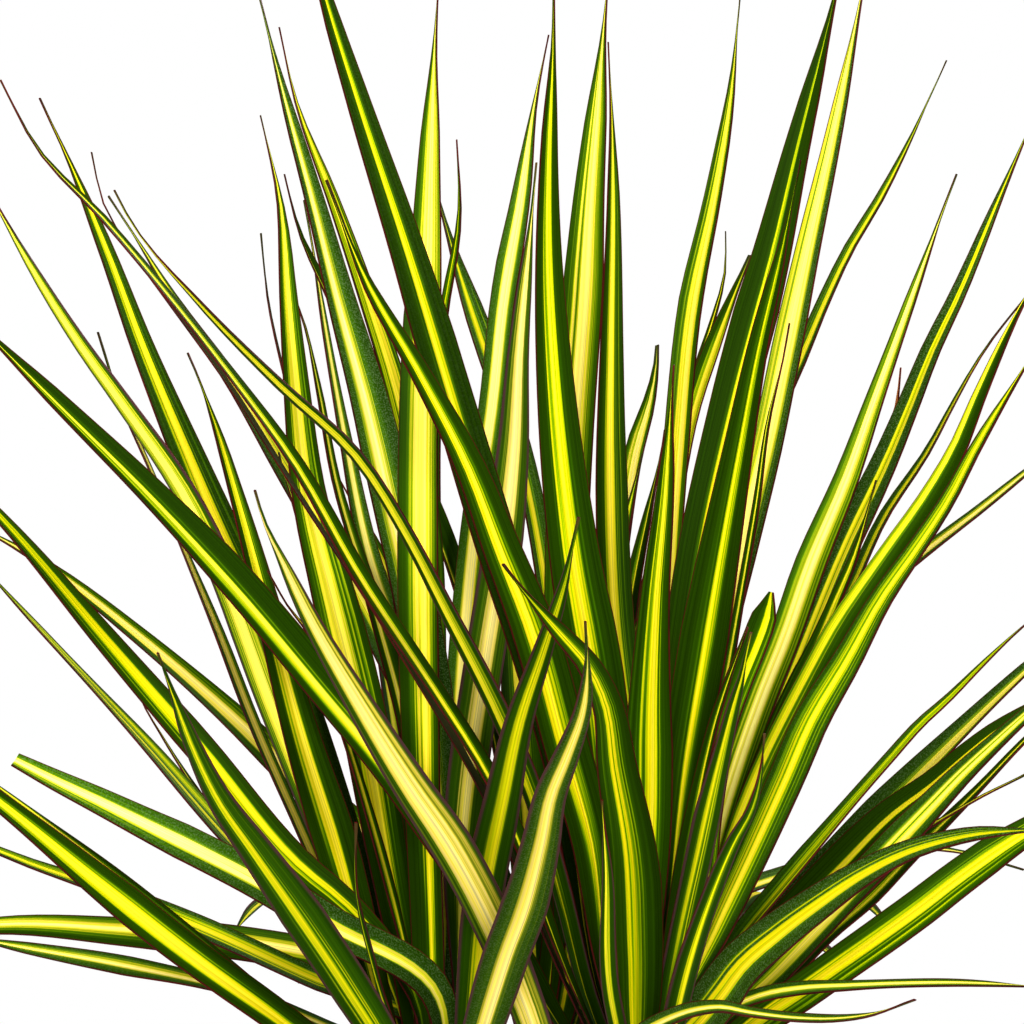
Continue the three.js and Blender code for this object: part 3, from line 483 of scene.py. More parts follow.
# Dry finishes. Grain and grit count noise waves a metre: grain gives the colours, and grit, or else
# the grain, the relief as a strength and a depth in mm. Upright is how much faster the grain
# changes along the height than across it
PLAIN_FINISH = {"detail": 6.0, "upright": 1.0, "roughness": 0.9, "specular": 0.5}
EARTH = {"grain": 340.0, "relief": (0.9, 1.0)}
FINISHES = {
    # The cut-thin rim of a leaf: dark red tissue, almost without gloss
    "red_leaf_rim": {
        "grain": 60.0, "detail": 2.0, "roughness": 0.5, "specular": 0.1,
        "stops": ((0.3, "#3A0C0C"), (0.7, "#5E1A16")),
    },
    # Dragon tree bark: thin, corky and grey-brown, dry, cracked across into flat plates
    "corky_cane_bark": {
        "grain": 160.0, "upright": 3.0, "roughness": 0.85, "relief": (0.6, 0.4),
        "stops": ((0.3, "#5A4230"), (0.5, "#8A6B4C"), (0.68, "#B09470")),
    },
    # Fresh leaf bases wrapped round the stem: satin, green with pale upright fibres
    "leaf_sheath_skin": {
        "grain": 420.0, "detail": 3.0, "upright": 0.15, "roughness": 0.5,
        "stops": ((0.3, "#5C7A34"), (0.5, "#93A556"), (0.7, "#C9C98A")),
    },
    # Unglazed terracotta, pressed and fired: matt, porous, with pale lime bloom and fine grit
    "unglazed_terracotta": {
        "grain": 14.0, "detail": 5.0, "grit": 900.0, "grit_detail": 2.0, "relief": (0.3, 0.2),
        "stops": ((0.32, "#B06444"), (0.5, "#C07A5A"), (0.72, "#D19B80")),
    },
    # Loose potting mix: dark moist peat, chips of bark, crumbs and puffed white perlite, all matt
    "moist_peat": {
        **EARTH, "roughness": 0.95,
        "stops": ((0.3, "#1E1510"), (0.55, "#3A2A1E"), (0.75, "#5A4330")),
    },
    "pine_bark_bits": {
        **EARTH, "stops": ((0.3, "#3E2818"), (0.6, "#6B4A30"), (0.8, "#8C6A48")),
    },
    "peat_crumbs": {
        **EARTH, "roughness": 0.95,
        "stops": ((0.3, "#241812"), (0.6, "#4A3626"), (0.8, "#6A5038")),
    },
    "white_perlite": {
        **EARTH, "roughness": 0.8,
        "stops": ((0.3, "#CFCABF"), (0.6, "#E8E4DA"), (0.8, "#F4F2EC")),
    },
}
MATH = "ShaderNodeMath"
MIX = "ShaderNodeMix"
NOISE = "ShaderNodeTexNoise"


def srgb(code):
    """A hex sRGB colour as linear RGBA."""
    channels = [int(code[i:i + 2], 16) / 255 for i in (1, 3, 5)]
    linear = [c / 12.92 if c <= 0.04045 else ((c + 0.055) / 1.055) ** 2.4 for c in channels]
    return (*linear, 1.0)


def add_node(tree, kind, inputs=None, output=0, stops=(), **settings):
    """Add a node, set its properties and ramp stops, and fill or link its inputs. Gives back one
    of its outputs."""
    made = tree.nodes.new(kind)
    for name, value in settings.items():
        setattr(made, name, value)
    for key, value in (inputs or {}).items():
        if isinstance(value, bpy.types.NodeSocket):
            tree.links.new(value, made.inputs[key])
        else:
            made.inputs[key].default_value = value
    if stops:
        elements = made.color_ramp.elements
        while len(elements) < len(stops):
            elements.new(1.0)
        for element, (place, colour) in zip(elements, stops):
            element.position = place
            element.color = srgb(colour) if isinstance(colour, str) else colour
    return made.outputs[output] if len(made.outputs) else None


def new_material(name):
    """A material without nodes, and the function that adds them to it."""
    material = bpy.data.materials.new(name)
    material.use_nodes = True
    material.node_tree.nodes.clear()
    return material, partial(add_node, material.node_tree)


def draw(kind, number):
    """Whole numbers mixed to an even draw between 0 and 1."""
    mixed = math.sin((number + DRAWS[kind]) * DRAW_MIX[0] + DRAW_MIX[1]) * DRAW_MIX[2]
    return mixed - math.floor(mixed)


def smooth(share):
    """An even rise from 0 to 1 that starts and ends level."""
    held = min(1.0, max(0.0, share))
    return held * held * (3 - 2 * held)


def between(ends, share):
    """The value at a share of the way between two ends."""
    return ends[0] + (ends[1] - ends[0]) * share


# Leaf rules


def place_on_sight(column, row, depth):
    """The point that a grid place covers, slid along its sight line towards the front."""
    height = STEM_TOP_ROW_HEIGHT + (STEM_TOP_ROW - row) * GRID
    point = Vector(((column - AXIS_COLUMN) * GRID, 0, height))
    return (point - EYE) * (1 + depth / EYE.y) + EYE


def grid_place_of(point):
    """The grid place that a point covers, and its depth."""
    depth = -point.y
    shrink = 1 + depth / EYE.y
    x = EYE.x + (point.x - EYE.x) / shrink
    z = EYE.z + (point.z - EYE.z) / shrink
    return AXIS_COLUMN + x / GRID, STEM_TOP_ROW + (STEM_TOP_ROW_HEIGHT - z) / GRID, depth


def route_shares(route):
    """Shares of the way along a route at each of its points."""
    shares = [0.0]
    for start, end in zip(route, route[1:]):
        shares.append(shares[-1] + math.hypot(end[0] - start[0], end[1] - start[1]))
    return [share / shares[-1] for share in shares]


def route_slope(route, shares, i, axis):
    """The slope of a route at one of its points, from the stretches before and after it."""
    last = len(route) - 1
    if i == 0:
        return (route[1][axis] - route[0][axis]) / (shares[1] - shares[0])
    behind = (route[i][axis] - route[i - 1][axis]) / (shares[i] - shares[i - 1])
    if i == last:
        return behind
    ahead = (route[i + 1][axis] - route[i][axis]) / (shares[i + 1] - shares[i])
    before = shares[i] - shares[i - 1]
    after = shares[i + 1] - shares[i]
    return (ahead * before + behind * after) / (before + after)


def along_route(route, shares, share):
    """A smooth curve through the route's points."""
    i = 0
    while i < len(route) - 2 and share > shares[i + 1]:
        i += 1
    span = shares[i + 1] - shares[i]
    t = (share - shares[i]) / span
    place = []
    for axis in (0, 1):
        start = route[i][axis]
        rise = route[i + 1][axis] - start
        leave = route_slope(route, shares, i, axis) * span
        arrive = route_slope(route, shares, i + 1, axis) * span
        bend = 3 * rise - 2 * leave - arrive + t * (leave + arrive - 2 * rise)
        place.append(start + t * (leave + t * bend))
    return place


class DrawnLeaf:
    """A leaf that follows a route on the grid."""

    def __init__(self, number):
        (self.crown, self.width, self.taper, self.reach, self.turn, self.tip_turn,
         places) = LEAVES[number]
        row = LOOKS[number]
        self.look = (*row, *PLAIN_LOOK[len(row):])
        self.lost_tip = LOST_TIPS.get(number, 0.0)
        route = [tuple(float(part) for part in place.split(",")) for place in places.split()]
        axis_x, axis_y = CROWN_AXES[self.crown]
        tip = place_on_sight(*route[-1], self.reach)
        self.outward = Vector((tip.x - axis_x, tip.y - axis_y, 0))
        rise = tip.z - STEM_TOP_ROW_HEIGHT
        lean = self.outward.length / math.hypot(self.outward.length, rise)
        self.outward.normalize()
        root = Vector((axis_x, axis_y, ROOT_TOP - ROOT_SPREAD * lean)) + self.outward * ROOT_RADIUS
        column, grid_row, self.root_depth = grid_place_of(root)
        self.route = [(column, grid_row), *route]
        self.shares = route_shares(self.route)
        self.side = 1 if tip.x < axis_x else -1
        self.reach_change = 0.0
        self.bow = 0.0

    def layer_at(self, share):
        u, v = along_route(self.route, self.shares, share)
        depth = self.root_depth + (self.reach - self.root_depth) * share ** REACH_POWER
        eased = self.reach_change * share ** REACH_POWER + self.bow * 4 * share * (1 - share)
        return u, v, depth + eased

    def point_at(self, share):
        return place_on_sight(*self.layer_at(share))


class ArchingLeaf:
    """A leaf that leaves the stem at its rise and bends down evenly along its length."""

    def __init__(self, age, crown, number):
        rule = ARCHING[age]
        order = number / (rule["count"] - 1)
        azimuth = math.radians(between(SECTORS[age][crown], (number * GOLDEN_SHARE) % 1))
        spread = between(ARCH_LENGTH_SPREAD, draw("length", number))
        self.crown = crown
        self.look = PLAIN_LOOK
        self.turn = None
        self.taper = ARCH_TAPER
        self.lost_tip = 0.0
        self.width = between(ARCH_WIDTHS, draw("width", number))
        self.length = between(rule["lengths"], order) * spread
        self.rise = math.radians(between(rule["rises"], order))
        self.bend = math.radians(between(rule["bends"], draw("bend", number)))
        self.outward = Vector((math.cos(azimuth), math.sin(azimuth), 0))
        self.root = Vector((*CROWN_AXES[crown], between(rule["heights"], order)))

    def point_at(self, share):
        lower = self.rise - self.bend * share
        radius = self.length / self.bend
        out = ROOT_RADIUS + radius * (math.sin(self.rise) - math.sin(lower))
        up = radius * (math.cos(lower) - math.cos(self.rise))
        return self.root + Vector((0, 0, up)) + self.outward * out


def half_width(leaf, share, fuller=0.0):
    """Half the blade's width: a clasping root, a neck and a long taper."""
    root = ROOT_HALF_WIDTH / (leaf.width / 2)
    if share < NECK_SHARE:
        body = root + (NECK_WIDTH - root) * smooth(share / NECK_SHARE)
    else:
        widened = smooth((share - NECK_SHARE) / (FULL_WIDTH_SHARE - NECK_SHARE))
        body = NECK_WIDTH + (1 - NECK_WIDTH) * widened
    taper = min(1.0, (1 + leaf.lost_tip + fuller - share) / leaf.taper) ** TAPER_POWER
    return (leaf.width / 2) * min(1.0, max(TIP_WIDTH, body * taper))


def blade_frame(leaf, share):
    """Place, upper normal, sideways direction and roll of a blade at a share of its length."""
    point = leaf.point_at(share)
    ahead = leaf.point_at(min(1.0, share + SLOPE_STEP))
    along = (ahead - leaf.point_at(max(0.0, share - SLOPE_STEP))).normalized()
    natural = Vector((0, 0, along.dot(leaf.outward))) - leaf.outward * along.z
    natural = (natural - along * natural.dot(along)).normalized()
    if leaf.turn is None:
        return point, natural, along.cross(natural), 0.0
    facing = (EYE - point).normalized()
    facing = (facing - along * facing.dot(along)).normalized()
    up_side = along.cross(facing) * leaf.side
    natural_roll = math.atan2(natural.dot(up_side), natural.dot(facing))
    if natural_roll < -math.pi / 2:
        natural_roll += math.pi * 2
    turning = smooth((share - TIP_TURN_START) / TIP_TURN_SPAN)
    turn = leaf.turn + (leaf.tip_turn - leaf.turn) * turning
    turned = smooth(share / UNTWIST_SHARE)
    roll = natural_roll * (1 - turned) + math.radians(turn) * turned
    normal = facing * math.cos(roll) + up_side * math.sin(roll)
    return point, normal, along.cross(normal), roll


def layer_samples(leaf):
    """Where a leaf lies on the grid, how deep, how wide it is seen there and how thick in depth."""
    samples = []
    for k in range(1, LAYER_SAMPLES + 1):
        share = k / LAYER_SAMPLES
        u, v, depth = leaf.layer_at(share)
        half = half_width(leaf, share)
        roll = blade_frame(leaf, share)[3]
        seen = (half * abs(math.cos(roll)) + LAYER_MARGIN) / GRID
        samples.append((share, u, v, depth, seen, half * abs(math.sin(roll))))
    return samples


def layer_pairs(leaves):
    """Pairs of samples of two leaves that cover the same place on the grid."""
    sampled = [layer_samples(leaf) for leaf in leaves]
    pairs = []
    for i, front in enumerate(leaves):
        for j in range(i + 1, len(leaves)):
            rear = leaves[j]
            shared = SHARED_ROOT if front.crown == rear.crown else 0
            crossings = []
            lead = 0.0
            for a in sampled[i]:
                for b in sampled[j]:
                    near = math.hypot(a[1] - b[1], a[2] - b[2]) < a[4] + b[4]
                    if near and a[0] >= shared and b[0] >= shared:
                        crossings.append((a, b))
                        lead += a[3] - b[3]
            order = 1 if lead >= 0 else -1
            pairs.extend((front, rear, a, b, order) for a, b in crossings)
    return pairs


def ease_layers(leaves):
    """Push leaves that are too close apart in depth, in their reach and in their bow."""
    eased = []
    for front, rear, a, b, order in layer_pairs(leaves):
        reaches = [sample[0] ** REACH_POWER for sample in (a, b)]
        bows = [4 * sample[0] * (1 - sample[0]) for sample in (a, b)]
        grip = sum(weight ** 2 for weight in (*reaches, *bows)) + LAYER_SOFTNESS
        needed = LAYER_GAP + a[5] + b[5]
        eased.append((front, rear, a[3] - b[3], needed, order, *reaches, *bows, grip))
    for _ in range(LAYER_ROUNDS):
        for front, rear, lead, needed, order, a_reach, b_reach, a_bow, b_bow, grip in eased:
            lead += front.reach_change * a_reach + front.bow * a_bow
            lead -= rear.reach_change * b_reach + rear.bow * b_bow
            short = needed - order * lead
            if short > 0:
                push = order * short * 0.5 / grip
                front.reach_change += push * a_reach
                front.bow += push * a_bow
                rear.reach_change -= push * b_reach
                rear.bow -= push * b_bow


def all_leaves():
    """The leaves on their routes, eased apart, and then those that arch out by rule."""
    drawn = [DrawnLeaf(number) for number in range(len(LEAVES))]
    ease_layers(drawn)
    arching = [
        ArchingLeaf(age, crown, number)
        for age in ARCHING
        for crown in SECTORS[age]
        for number in range(ARCHING[age]["count"])
    ]
    return drawn + arching


# Sizes and colours that a user would change


def colour_setting(name, description, code):
    return bpy.props.FloatVectorProperty(
        name=name, description=description, default=srgb(code), size=4, min=0.0, max=1.0,
        subtype="COLOR")


class LeafSettings(bpy.types.PropertyGroup):
    thickness: bpy.props.FloatProperty(
        name="Blade thickness", description="Thickness of a leaf blade",
        default=0.6 * MM, min=0.2 * MM, unit="LENGTH", precision=4)
    channel: bpy.props.FloatProperty(
        name="Channel", description="Rise of the blade's edges over its midrib, per half width",
        default=0.2, min=0.0, max=0.6, subtype="FACTOR")
    across: bpy.props.IntProperty(
        name="Faces across", description="Faces across one blade", default=8, min=2, max=16)
    lengthwise: bpy.props.IntProperty(
        name="Faces along", description="Faces along one blade", default=44, min=8, max=96)
    stripe: colour_setting(
        "Stripe", "Middle of the stripe on the upper side of a yellow leaf", "#F4E53A")
    margin: colour_setting(
        "Margin", "Outer margin on the upper side of a yellow leaf", "#274300")


class PotSettings(bpy.types.PropertyGroup):
    wall: bpy.props.FloatProperty(
        name="Wall", description="Thickness of the clay wall", default=6 * MM, unit="LENGTH")
    band_height: bpy.props.FloatProperty(
        name="Rim band", description="Height of the thick band under the rim",
        default=30 * MM, unit="LENGTH")
    segments: bpy.props.IntProperty(
        name="Segments", description="Faces round the pot", default=96, min=24, max=192)
    clay: colour_setting("Clay", "Colour of the clay between its dark and pale clouds", "#C07A5A")


class StageSettings(bpy.types.PropertyGroup):
    eye_distance: bpy.props.FloatProperty(
        name="Camera distance", description="Distance of the camera from the pot's axis",
        default=1.3, unit="LENGTH")
    view_width: bpy.props.FloatProperty(
        name="View width", description="Width of the view at the pot's axis",
        default=GRID_COLUMNS * GRID * MM, unit="LENGTH")
    key_power: bpy.props.FloatProperty(
        name="Key light", description="Power of the main soft light", default=52.0, unit="POWER")
    sky: bpy.props.FloatProperty(
        name="Surround", description="Strength of the light from the surround",
        default=0.25, min=0.0)
    contrast: bpy.props.FloatProperty(
        name="Shadows", description="Gamma of the picture: lower is darker in the shadows",
        default=0.82, min=0.3, max=1.5)
    floor: colour_setting("Floor", "Colour of the floor", "#F0F0EC")


# Finishing a piece


def finish_piece(mesh_data, name, materials, replaced=(), smooth_faces=True):
    """Make an object of a bmesh at the origin, shade it and tie it to the frame."""
    mesh = bpy.data.meshes.new(name)
    mesh_data.to_mesh(mesh)
    mesh_data.free()
    for material in materials:
        mesh.materials.append(material)
    if smooth_faces:
        mesh.shade_smooth()
    piece = bpy.data.objects.new(name, mesh)
    bpy.context.scene.collection.objects.link(piece)
    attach(piece, ROOT_BODY)
    if replaced:
        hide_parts(*replaced)
    return piece


def spun(profile, steps, centre=(0, 0)):
    """A bmesh turned round an upright axis from [radius, height] pairs in mm."""
    shape = bmesh.new()
    verts = [shape.verts.new(((centre[0] + r) * MM, centre[1] * MM, z * MM)) for r, z in profile]
    edges = [shape.edges.new(pair) for pair in zip(verts, verts[1:])]
    bmesh.ops.spin(
        shape, geom=verts + edges, cent=(centre[0] * MM, centre[1] * MM, 0), axis=(0, 0, 1),
        angle=math.tau, steps=steps, use_merge=True)
    bmesh.ops.remove_doubles(shape, verts=shape.verts, dist=1e-6)
    bmesh.ops.recalc_face_normals(shape, faces=shape.faces)
    return shape


# Materials


def leaf_material(name, side):
    """Living leaf skin, a waxy cuticle over striped tissue. The stripe, the green margins and the
    thin red edge run the length of the blade, with fine parallel lines between the veins."""
    material, add = new_material(name)
    read = {
        key: add("ShaderNodeAttribute", output="Fac", attribute_name=key) for key in LEAF_VALUES
    }
    blade = add("ShaderNodeUVMap", uv_map="blade")
    from_left = add("ShaderNodeSeparateXYZ", {0: blade})
    along = from_left.node.outputs[1]
    across = add(MATH, {0: from_left, 1: 2.0, 2: -1.0}, operation="MULTIPLY_ADD")
    off_middle = add(MATH, {0: across}, operation="ABSOLUTE")
    width = add(MATH, {0: across, 1: read["span"]}, operation="MULTIPLY")

    def streaks(lines_per_mm, stretch, offset):
        """Noise drawn out along the blade, about 0 on average."""
        own = add(MATH, {0: read["seed"], 1: 37.0, 2: offset}, operation="MULTIPLY_ADD")
        where = add("ShaderNodeCombineXYZ", {
            0: add(MATH, {0: width, 1: lines_per_mm}, operation="MULTIPLY"),
            1: add(MATH, {0: along, 1: stretch}, operation="MULTIPLY"),
            2: own,
        })
        grain = add(NOISE, {"Vector": where, "Scale": 1.0, "Detail": 1.0})
        return add(MATH, {0: grain, 1: 0.5}, operation="SUBTRACT")

    broad = streaks(0.3, 1.6, 0.0)
    bands = streaks(0.8, 0.9, 5.0)
    lines = streaks(2.4, 1.3, 11.0)

    # How far a place lies from the middle of the stripe: 1 at its border, which wavers. Bands and
    # lines cross it, calmer ones on cream leaves, and lime leaves are greener all over
    shifted = add(MATH, {0: across, 1: read["shift"]}, operation="SUBTRACT")
    centred = add(MATH, {0: broad, 1: 0.4, 2: shifted}, operation="MULTIPLY_ADD")
    distance = add(MATH, {0: centred}, operation="ABSOLUTE")
    ratio = add(MATH, {0: distance, 1: read["stripe"]}, operation="DIVIDE")
    greener = add(MATH, {0: read["pale"], 1: -0.8}, operation="MULTIPLY")
    lime = add(MATH, {0: greener, 1: 0.0}, operation="MAXIMUM")
    cream = add(MATH, {0: read["pale"], 1: 0.0}, operation="MAXIMUM")
    contrast = add(MATH, {0: cream, 1: -1.6, 2: 3.0}, operation="MULTIPLY_ADD")
    ground = add(MATH, {0: ratio, 1: lime}, operation="ADD")
    banded = add(MATH, {0: bands, 1: contrast, 2: ground}, operation="MULTIPLY_ADD")
    lined = add(MATH, {0: lines, 1: 1.6, 2: banded}, operation="MULTIPLY_ADD")
    level = add(MATH, {0: lined, 1: RAMP_SCALE}, operation="MULTIPLY", use_clamp=True)
    vivid = add("ShaderNodeValToRGB", {0: level}, stops=side["vivid"])
    faded = add("ShaderNodeValToRGB", {0: level}, stops=side["faded"])
    colour = add(MIX, {0: read["pale"], 6: vivid, 7: faded}, 2, data_type="RGBA")

    # Some leaves are more golden than others
    gold = add(MATH, {0: read["seed"], 1: GOLDEN_MOST}, operation="MULTIPLY")
    colour = add(
        MIX, {0: gold, 6: colour, 7: srgb(GOLDEN_TINT)}, 2,
        data_type="RGBA", blend_type="MULTIPLY")

    # Painted shade and highlight on the veins: the same lines as the relief darken the colour
    # where they sink and lighten it where they rise
    shade = add(MATH, {0: lines, 1: 1.3, 2: 0.95}, operation="MULTIPLY_ADD")
    vein_shade_colour = add("ShaderNodeCombineColor", {0: shade, 1: shade, 2: shade})
    colour = add(
        MIX, {0: 1.0, 6: colour, 7: vein_shade_colour}, 2, data_type="RGBA", blend_type="MULTIPLY")

    # Fine pale speckle, thickest on the margins: partly mineral dust, partly painted glints and
    # sheen
    coordinates = add("ShaderNodeTexCoord", output="Object")
    speckle_noise = add(NOISE, {"Vector": coordinates, "Scale": 1700.0, "Detail": 1.0})
    speckle_mask = add("ShaderNodeMapRange", {0: speckle_noise, 1: 0.45, 2: 0.68})
    margin = add("ShaderNodeMapRange", {0: level, 1: 0.3, 2: 0.5, 3: 0.15})
    margin_speckle = add(MATH, {0: speckle_mask, 1: margin}, operation="MULTIPLY")
    dust_and_sheen = add(MATH, {0: margin_speckle, 1: read["dust_and_sheen"]}, operation="MULTIPLY")
    colour = add(
        MIX, {0: dust_and_sheen, 6: colour, 7: srgb(side["dust_and_sheen"])}, 2, data_type="RGBA")

    # The thin red line along each edge, thinner still where the blade is narrow
    left = add(MATH, {0: 1.0, 1: off_middle}, operation="SUBTRACT")
    inset = add(MATH, {0: left, 1: read["half"]}, operation="MULTIPLY")
    most = add(MATH, {0: read["half"], 1: side["line_share"]}, operation="MULTIPLY")
    least = add(MATH, {0: most, 1: side["line"]}, operation="MINIMUM")
    waver = add(MATH, {0: broad, 1: 1.0}, operation="ADD")
    wavering = add(MATH, {0: least, 1: waver}, operation="MULTIPLY")
    ragged = add(MATH, {0: inset, 1: wavering}, operation="DIVIDE")
    line = add("ShaderNodeMapRange", {0: ragged, 1: 1.0, 2: 0.4})
    colour = add(
        MIX, {0: line, 6: colour, 7: srgb(side["edge"])}, 2, data_type="RGBA")

    # The tip darkens, and where a leaf withers early it dries to orange
    uneven = add(MATH, {0: broad, 1: 0.03, 2: along}, operation="MULTIPLY_ADD")
    past = add(MATH, {0: uneven, 1: read["dry"]}, operation="SUBTRACT")
    dried = add("ShaderNodeMapRange", {0: past, 1: -0.02, 2: 0.01})
    early = add(MATH, {0: read["dry"], 1: EARLY_DRY, 2: 0.02}, operation="COMPARE")
    tissue = add(
        MIX, {0: early, 6: srgb(side["dry"]), 7: srgb(EARLY_DRY_COLOUR)}, 2,
        data_type="RGBA")
    colour = add(MIX, {0: dried, 6: colour, 7: tissue}, 2, data_type="RGBA")

    strength, depth = VEIN_RELIEF
    veins = add("ShaderNodeBump", {"Height": lines, "Strength": strength, "Distance": depth * MM})
    shader = add("ShaderNodeBsdfPrincipled", {
        "Base Color": colour, "Roughness": side["roughness"], "IOR": LEAF_IOR,
        "Specular IOR Level": LEAF_SPECULAR, "Normal": veins,
    })
    add("ShaderNodeOutputMaterial", {0: shader})
    return material


def dry_material(name, **changes):
    """One of the dry finishes: noise in the object's own space gives its colours and relief."""
    finish = {**PLAIN_FINISH, **FINISHES[name], **changes}
    material, add = new_material(name)
    place = add("ShaderNodeTexCoord", output="Object")
    scaled = add("ShaderNodeMapping", {"Vector": place, "Scale": (1.0, 1.0, finish["upright"])})
    grain = add(NOISE, {
        "Vector": scaled, "Scale": finish["grain"], "Detail": finish["detail"],
    })
    skin = {
        "Base Color": add("ShaderNodeValToRGB", {0: grain}, stops=finish["stops"]),
        "Roughness": finish["roughness"], "Specular IOR Level": finish["specular"],
    }
    if "relief" in finish:
        strength, depth = finish["relief"]
        height = grain
        if "grit" in finish:
            height = add(NOISE, {
                "Vector": place, "Scale": finish["grit"], "Detail": finish["grit_detail"],
            })
        skin["Normal"] = add("ShaderNodeBump", {
            "Height": height, "Strength": strength, "Distance": depth * MM,
        })
    add("ShaderNodeOutputMaterial", {0: add("ShaderNodeBsdfPrincipled", skin)})
    return material


# Pieces


def blade_section(leaf, number, share):
    """A blade's half width at a share of its length, how far its tip turns green, and how far its
    root turns green, partly as painted shade.
    """
    ending = 0 if leaf.lost_tip else smooth((share - TIP_START) / (1 - TIP_START))
    half = half_width(leaf, share, FULLER.get(number, 0.0)) * (1 - TIP_POINT * ending)
    if number == BENT_TIP:
        half *= math.sqrt(1 - BEND_LOSS * smooth((share - BEND_START) / (1 - BEND_START)))
    green_end = LONG_ROOTS.get(number, ROOT_END)
    root_green_and_shade = 0 if number in PALE_ROOTS else 1 - smooth(share / green_end)
    return half, ending, root_green_and_shade


def add_blade(shape, layers, leaf, number, settings):
    """One leaf blade from a grid: across its width by along its length."""
    first = len(shape.verts)
    bmesh.ops.create_grid(
        shape, x_segments=settings.across, y_segments=settings.lengthwise, size=0.5, calc_uvs=True)
    shape.verts.ensure_lookup_table()
    frames = {}
    phase = draw("ripple", number) * math.tau
    stripe, shift, pale, dust_and_sheen, dry = leaf.look
    values = {
        "span": leaf.width / 2, "stripe": stripe, "shift": shift, "pale": pale, "dust_and_sheen": dust_and_sheen,
        "dry": dry, "seed": draw("seed", number),
    }
    for vert in shape.verts[first:]:
        share = vert.co.y + 0.5
        across = vert.co.x * 2
        key = round(share * settings.lengthwise)
        if key not in frames:
            frames[key] = (*blade_frame(leaf, share)[:3], *blade_section(leaf, number, share))
        point, normal, sideways, half, ending, root_green_and_shade = frames[key]
        ripple = math.sin(share * RIPPLE_WAVES + phase + across) * smooth(share * RIPPLE_FADE)
        rise = half * settings.channel * (abs(across) ** CHANNEL_POWER)
        rise += RIPPLE_RISE * ripple * across ** 2
        vert.co = (point + sideways * across * half + normal * rise) * MM
        values["half"] = half
        # Near the root the stripe narrows and turns limier: partly the leaf's own base, partly
        # painted shade
        values["stripe"] = stripe * (1 - TIP_GREENING * ending) * (1 - ROOT_GREENING_AND_SHADE * root_green_and_shade)
        values["pale"] = pale - ROOT_GREENING_AND_SHADE * root_green_and_shade
        for layer_name, layer in layers.items():
            vert[layer] = values[layer_name]


def build_crown(name, leaves, settings, materials):
    """All leaves of one stem in one piece, given their thickness by a modifier."""
    shape = bmesh.new()
    shape.loops.layers.uv.new("blade")
    layers = {key: shape.verts.layers.float.new(key) for key in LEAF_VALUES}
    for number, leaf in enumerate(leaves):
        if leaf.crown == name:
            add_blade(shape, layers, leaf, number, settings)
    for edge in shape.edges:
        edge.smooth = not edge.is_boundary
    piece = finish_piece(shape, f"leaves_{name}", materials, [f"crown_{name}"])
    skin = piece.modifiers.new("blade_thickness", "SOLIDIFY")
    skin.thickness = settings.thickness
    skin.offset = -1
    skin.material_offset = 1
    skin.material_offset_rim = 2


def build_stem(name, material):
    """The green stem above the cane, wrapped in leaf bases."""
    axis = CROWN_AXES[name]
    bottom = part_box(f"cane_{name}")[1][2] / MM + STEM_GAP
    straight = STEM_TOP - STEM_ROUNDING - bottom
    profile = [(0, bottom)]
    profile += [(STEM_RADIUS, bottom + straight * i / STEM_RINGS) for i in range(STEM_RINGS + 1)]
    profile.append((0, STEM_TOP))
    shape = spun(profile, STEM_STEPS, axis)
    for vert in shape.verts:
        x = vert.co.x / MM - axis[0]
        y = vert.co.y / MM - axis[1]
        if math.hypot(x, y) > 1:
            turn = math.atan2(y, x) / math.tau
            wrap = (turn * WRAP_TURNS + vert.co.z / MM / WRAP_HEIGHT) % 1
            swell = 1 - WRAP_DEPTH * wrap
            vert.co.x = (axis[0] + x * swell) * MM
            vert.co.y = (axis[1] + y * swell) * MM
    finish_piece(shape, f"stem_{name}", [material])


def build_cane(name, material):
    """A woody cane with a raised scar ring where each old leaf sat."""
    low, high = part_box(f"cane_{name}")
    bottom = low[2] / MM
    top = high[2] / MM
    soil_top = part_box("soil")[1][2] / MM
    axis = CROWN_AXES[name]
    foot = [place * CANE_FOOT_SHARE for place in axis]
    rings = int(top - bottom)
    profile = [(0, bottom)]
    profile += [(CANE_RADIUS, bottom + (top - bottom) * i / rings) for i in range(rings + 1)]
    profile.append((0, top))
    shape = spun(profile, CANE_STEPS)
    for vert in shape.verts:
        height = vert.co.z / MM
        radius = math.hypot(vert.co.x, vert.co.y) / MM
        if radius > 1:
            turn = math.atan2(vert.co.y, vert.co.x)
            wave = SCAR_WAVE * math.sin(turn * 2 + height * SCAR_WAVE_CLIMB)
            level = (height + wave) / SCAR_SPACING
            ring = max(0.0, 1 - abs(level % 1 - 0.5) * SCAR_SHARPNESS) ** SCAR_POWER
            lump = noise.noise(Vector((turn * 2, height / BARK_LUMPS, len(name))))
            swell = 1 + SCAR_RISE * ring + BARK_RISE * lump
            vert.co.x *= swell
            vert.co.y *= swell
        lean = smooth((height - soil_top) / (top - soil_top))
        vert.co.x += (foot[0] + (axis[0] - foot[0]) * lean) * MM
        vert.co.y += (foot[1] + (axis[1] - foot[1]) * lean) * MM
    finish_piece(shape, f"bark_{name}", [material], [f"cane_{name}"])


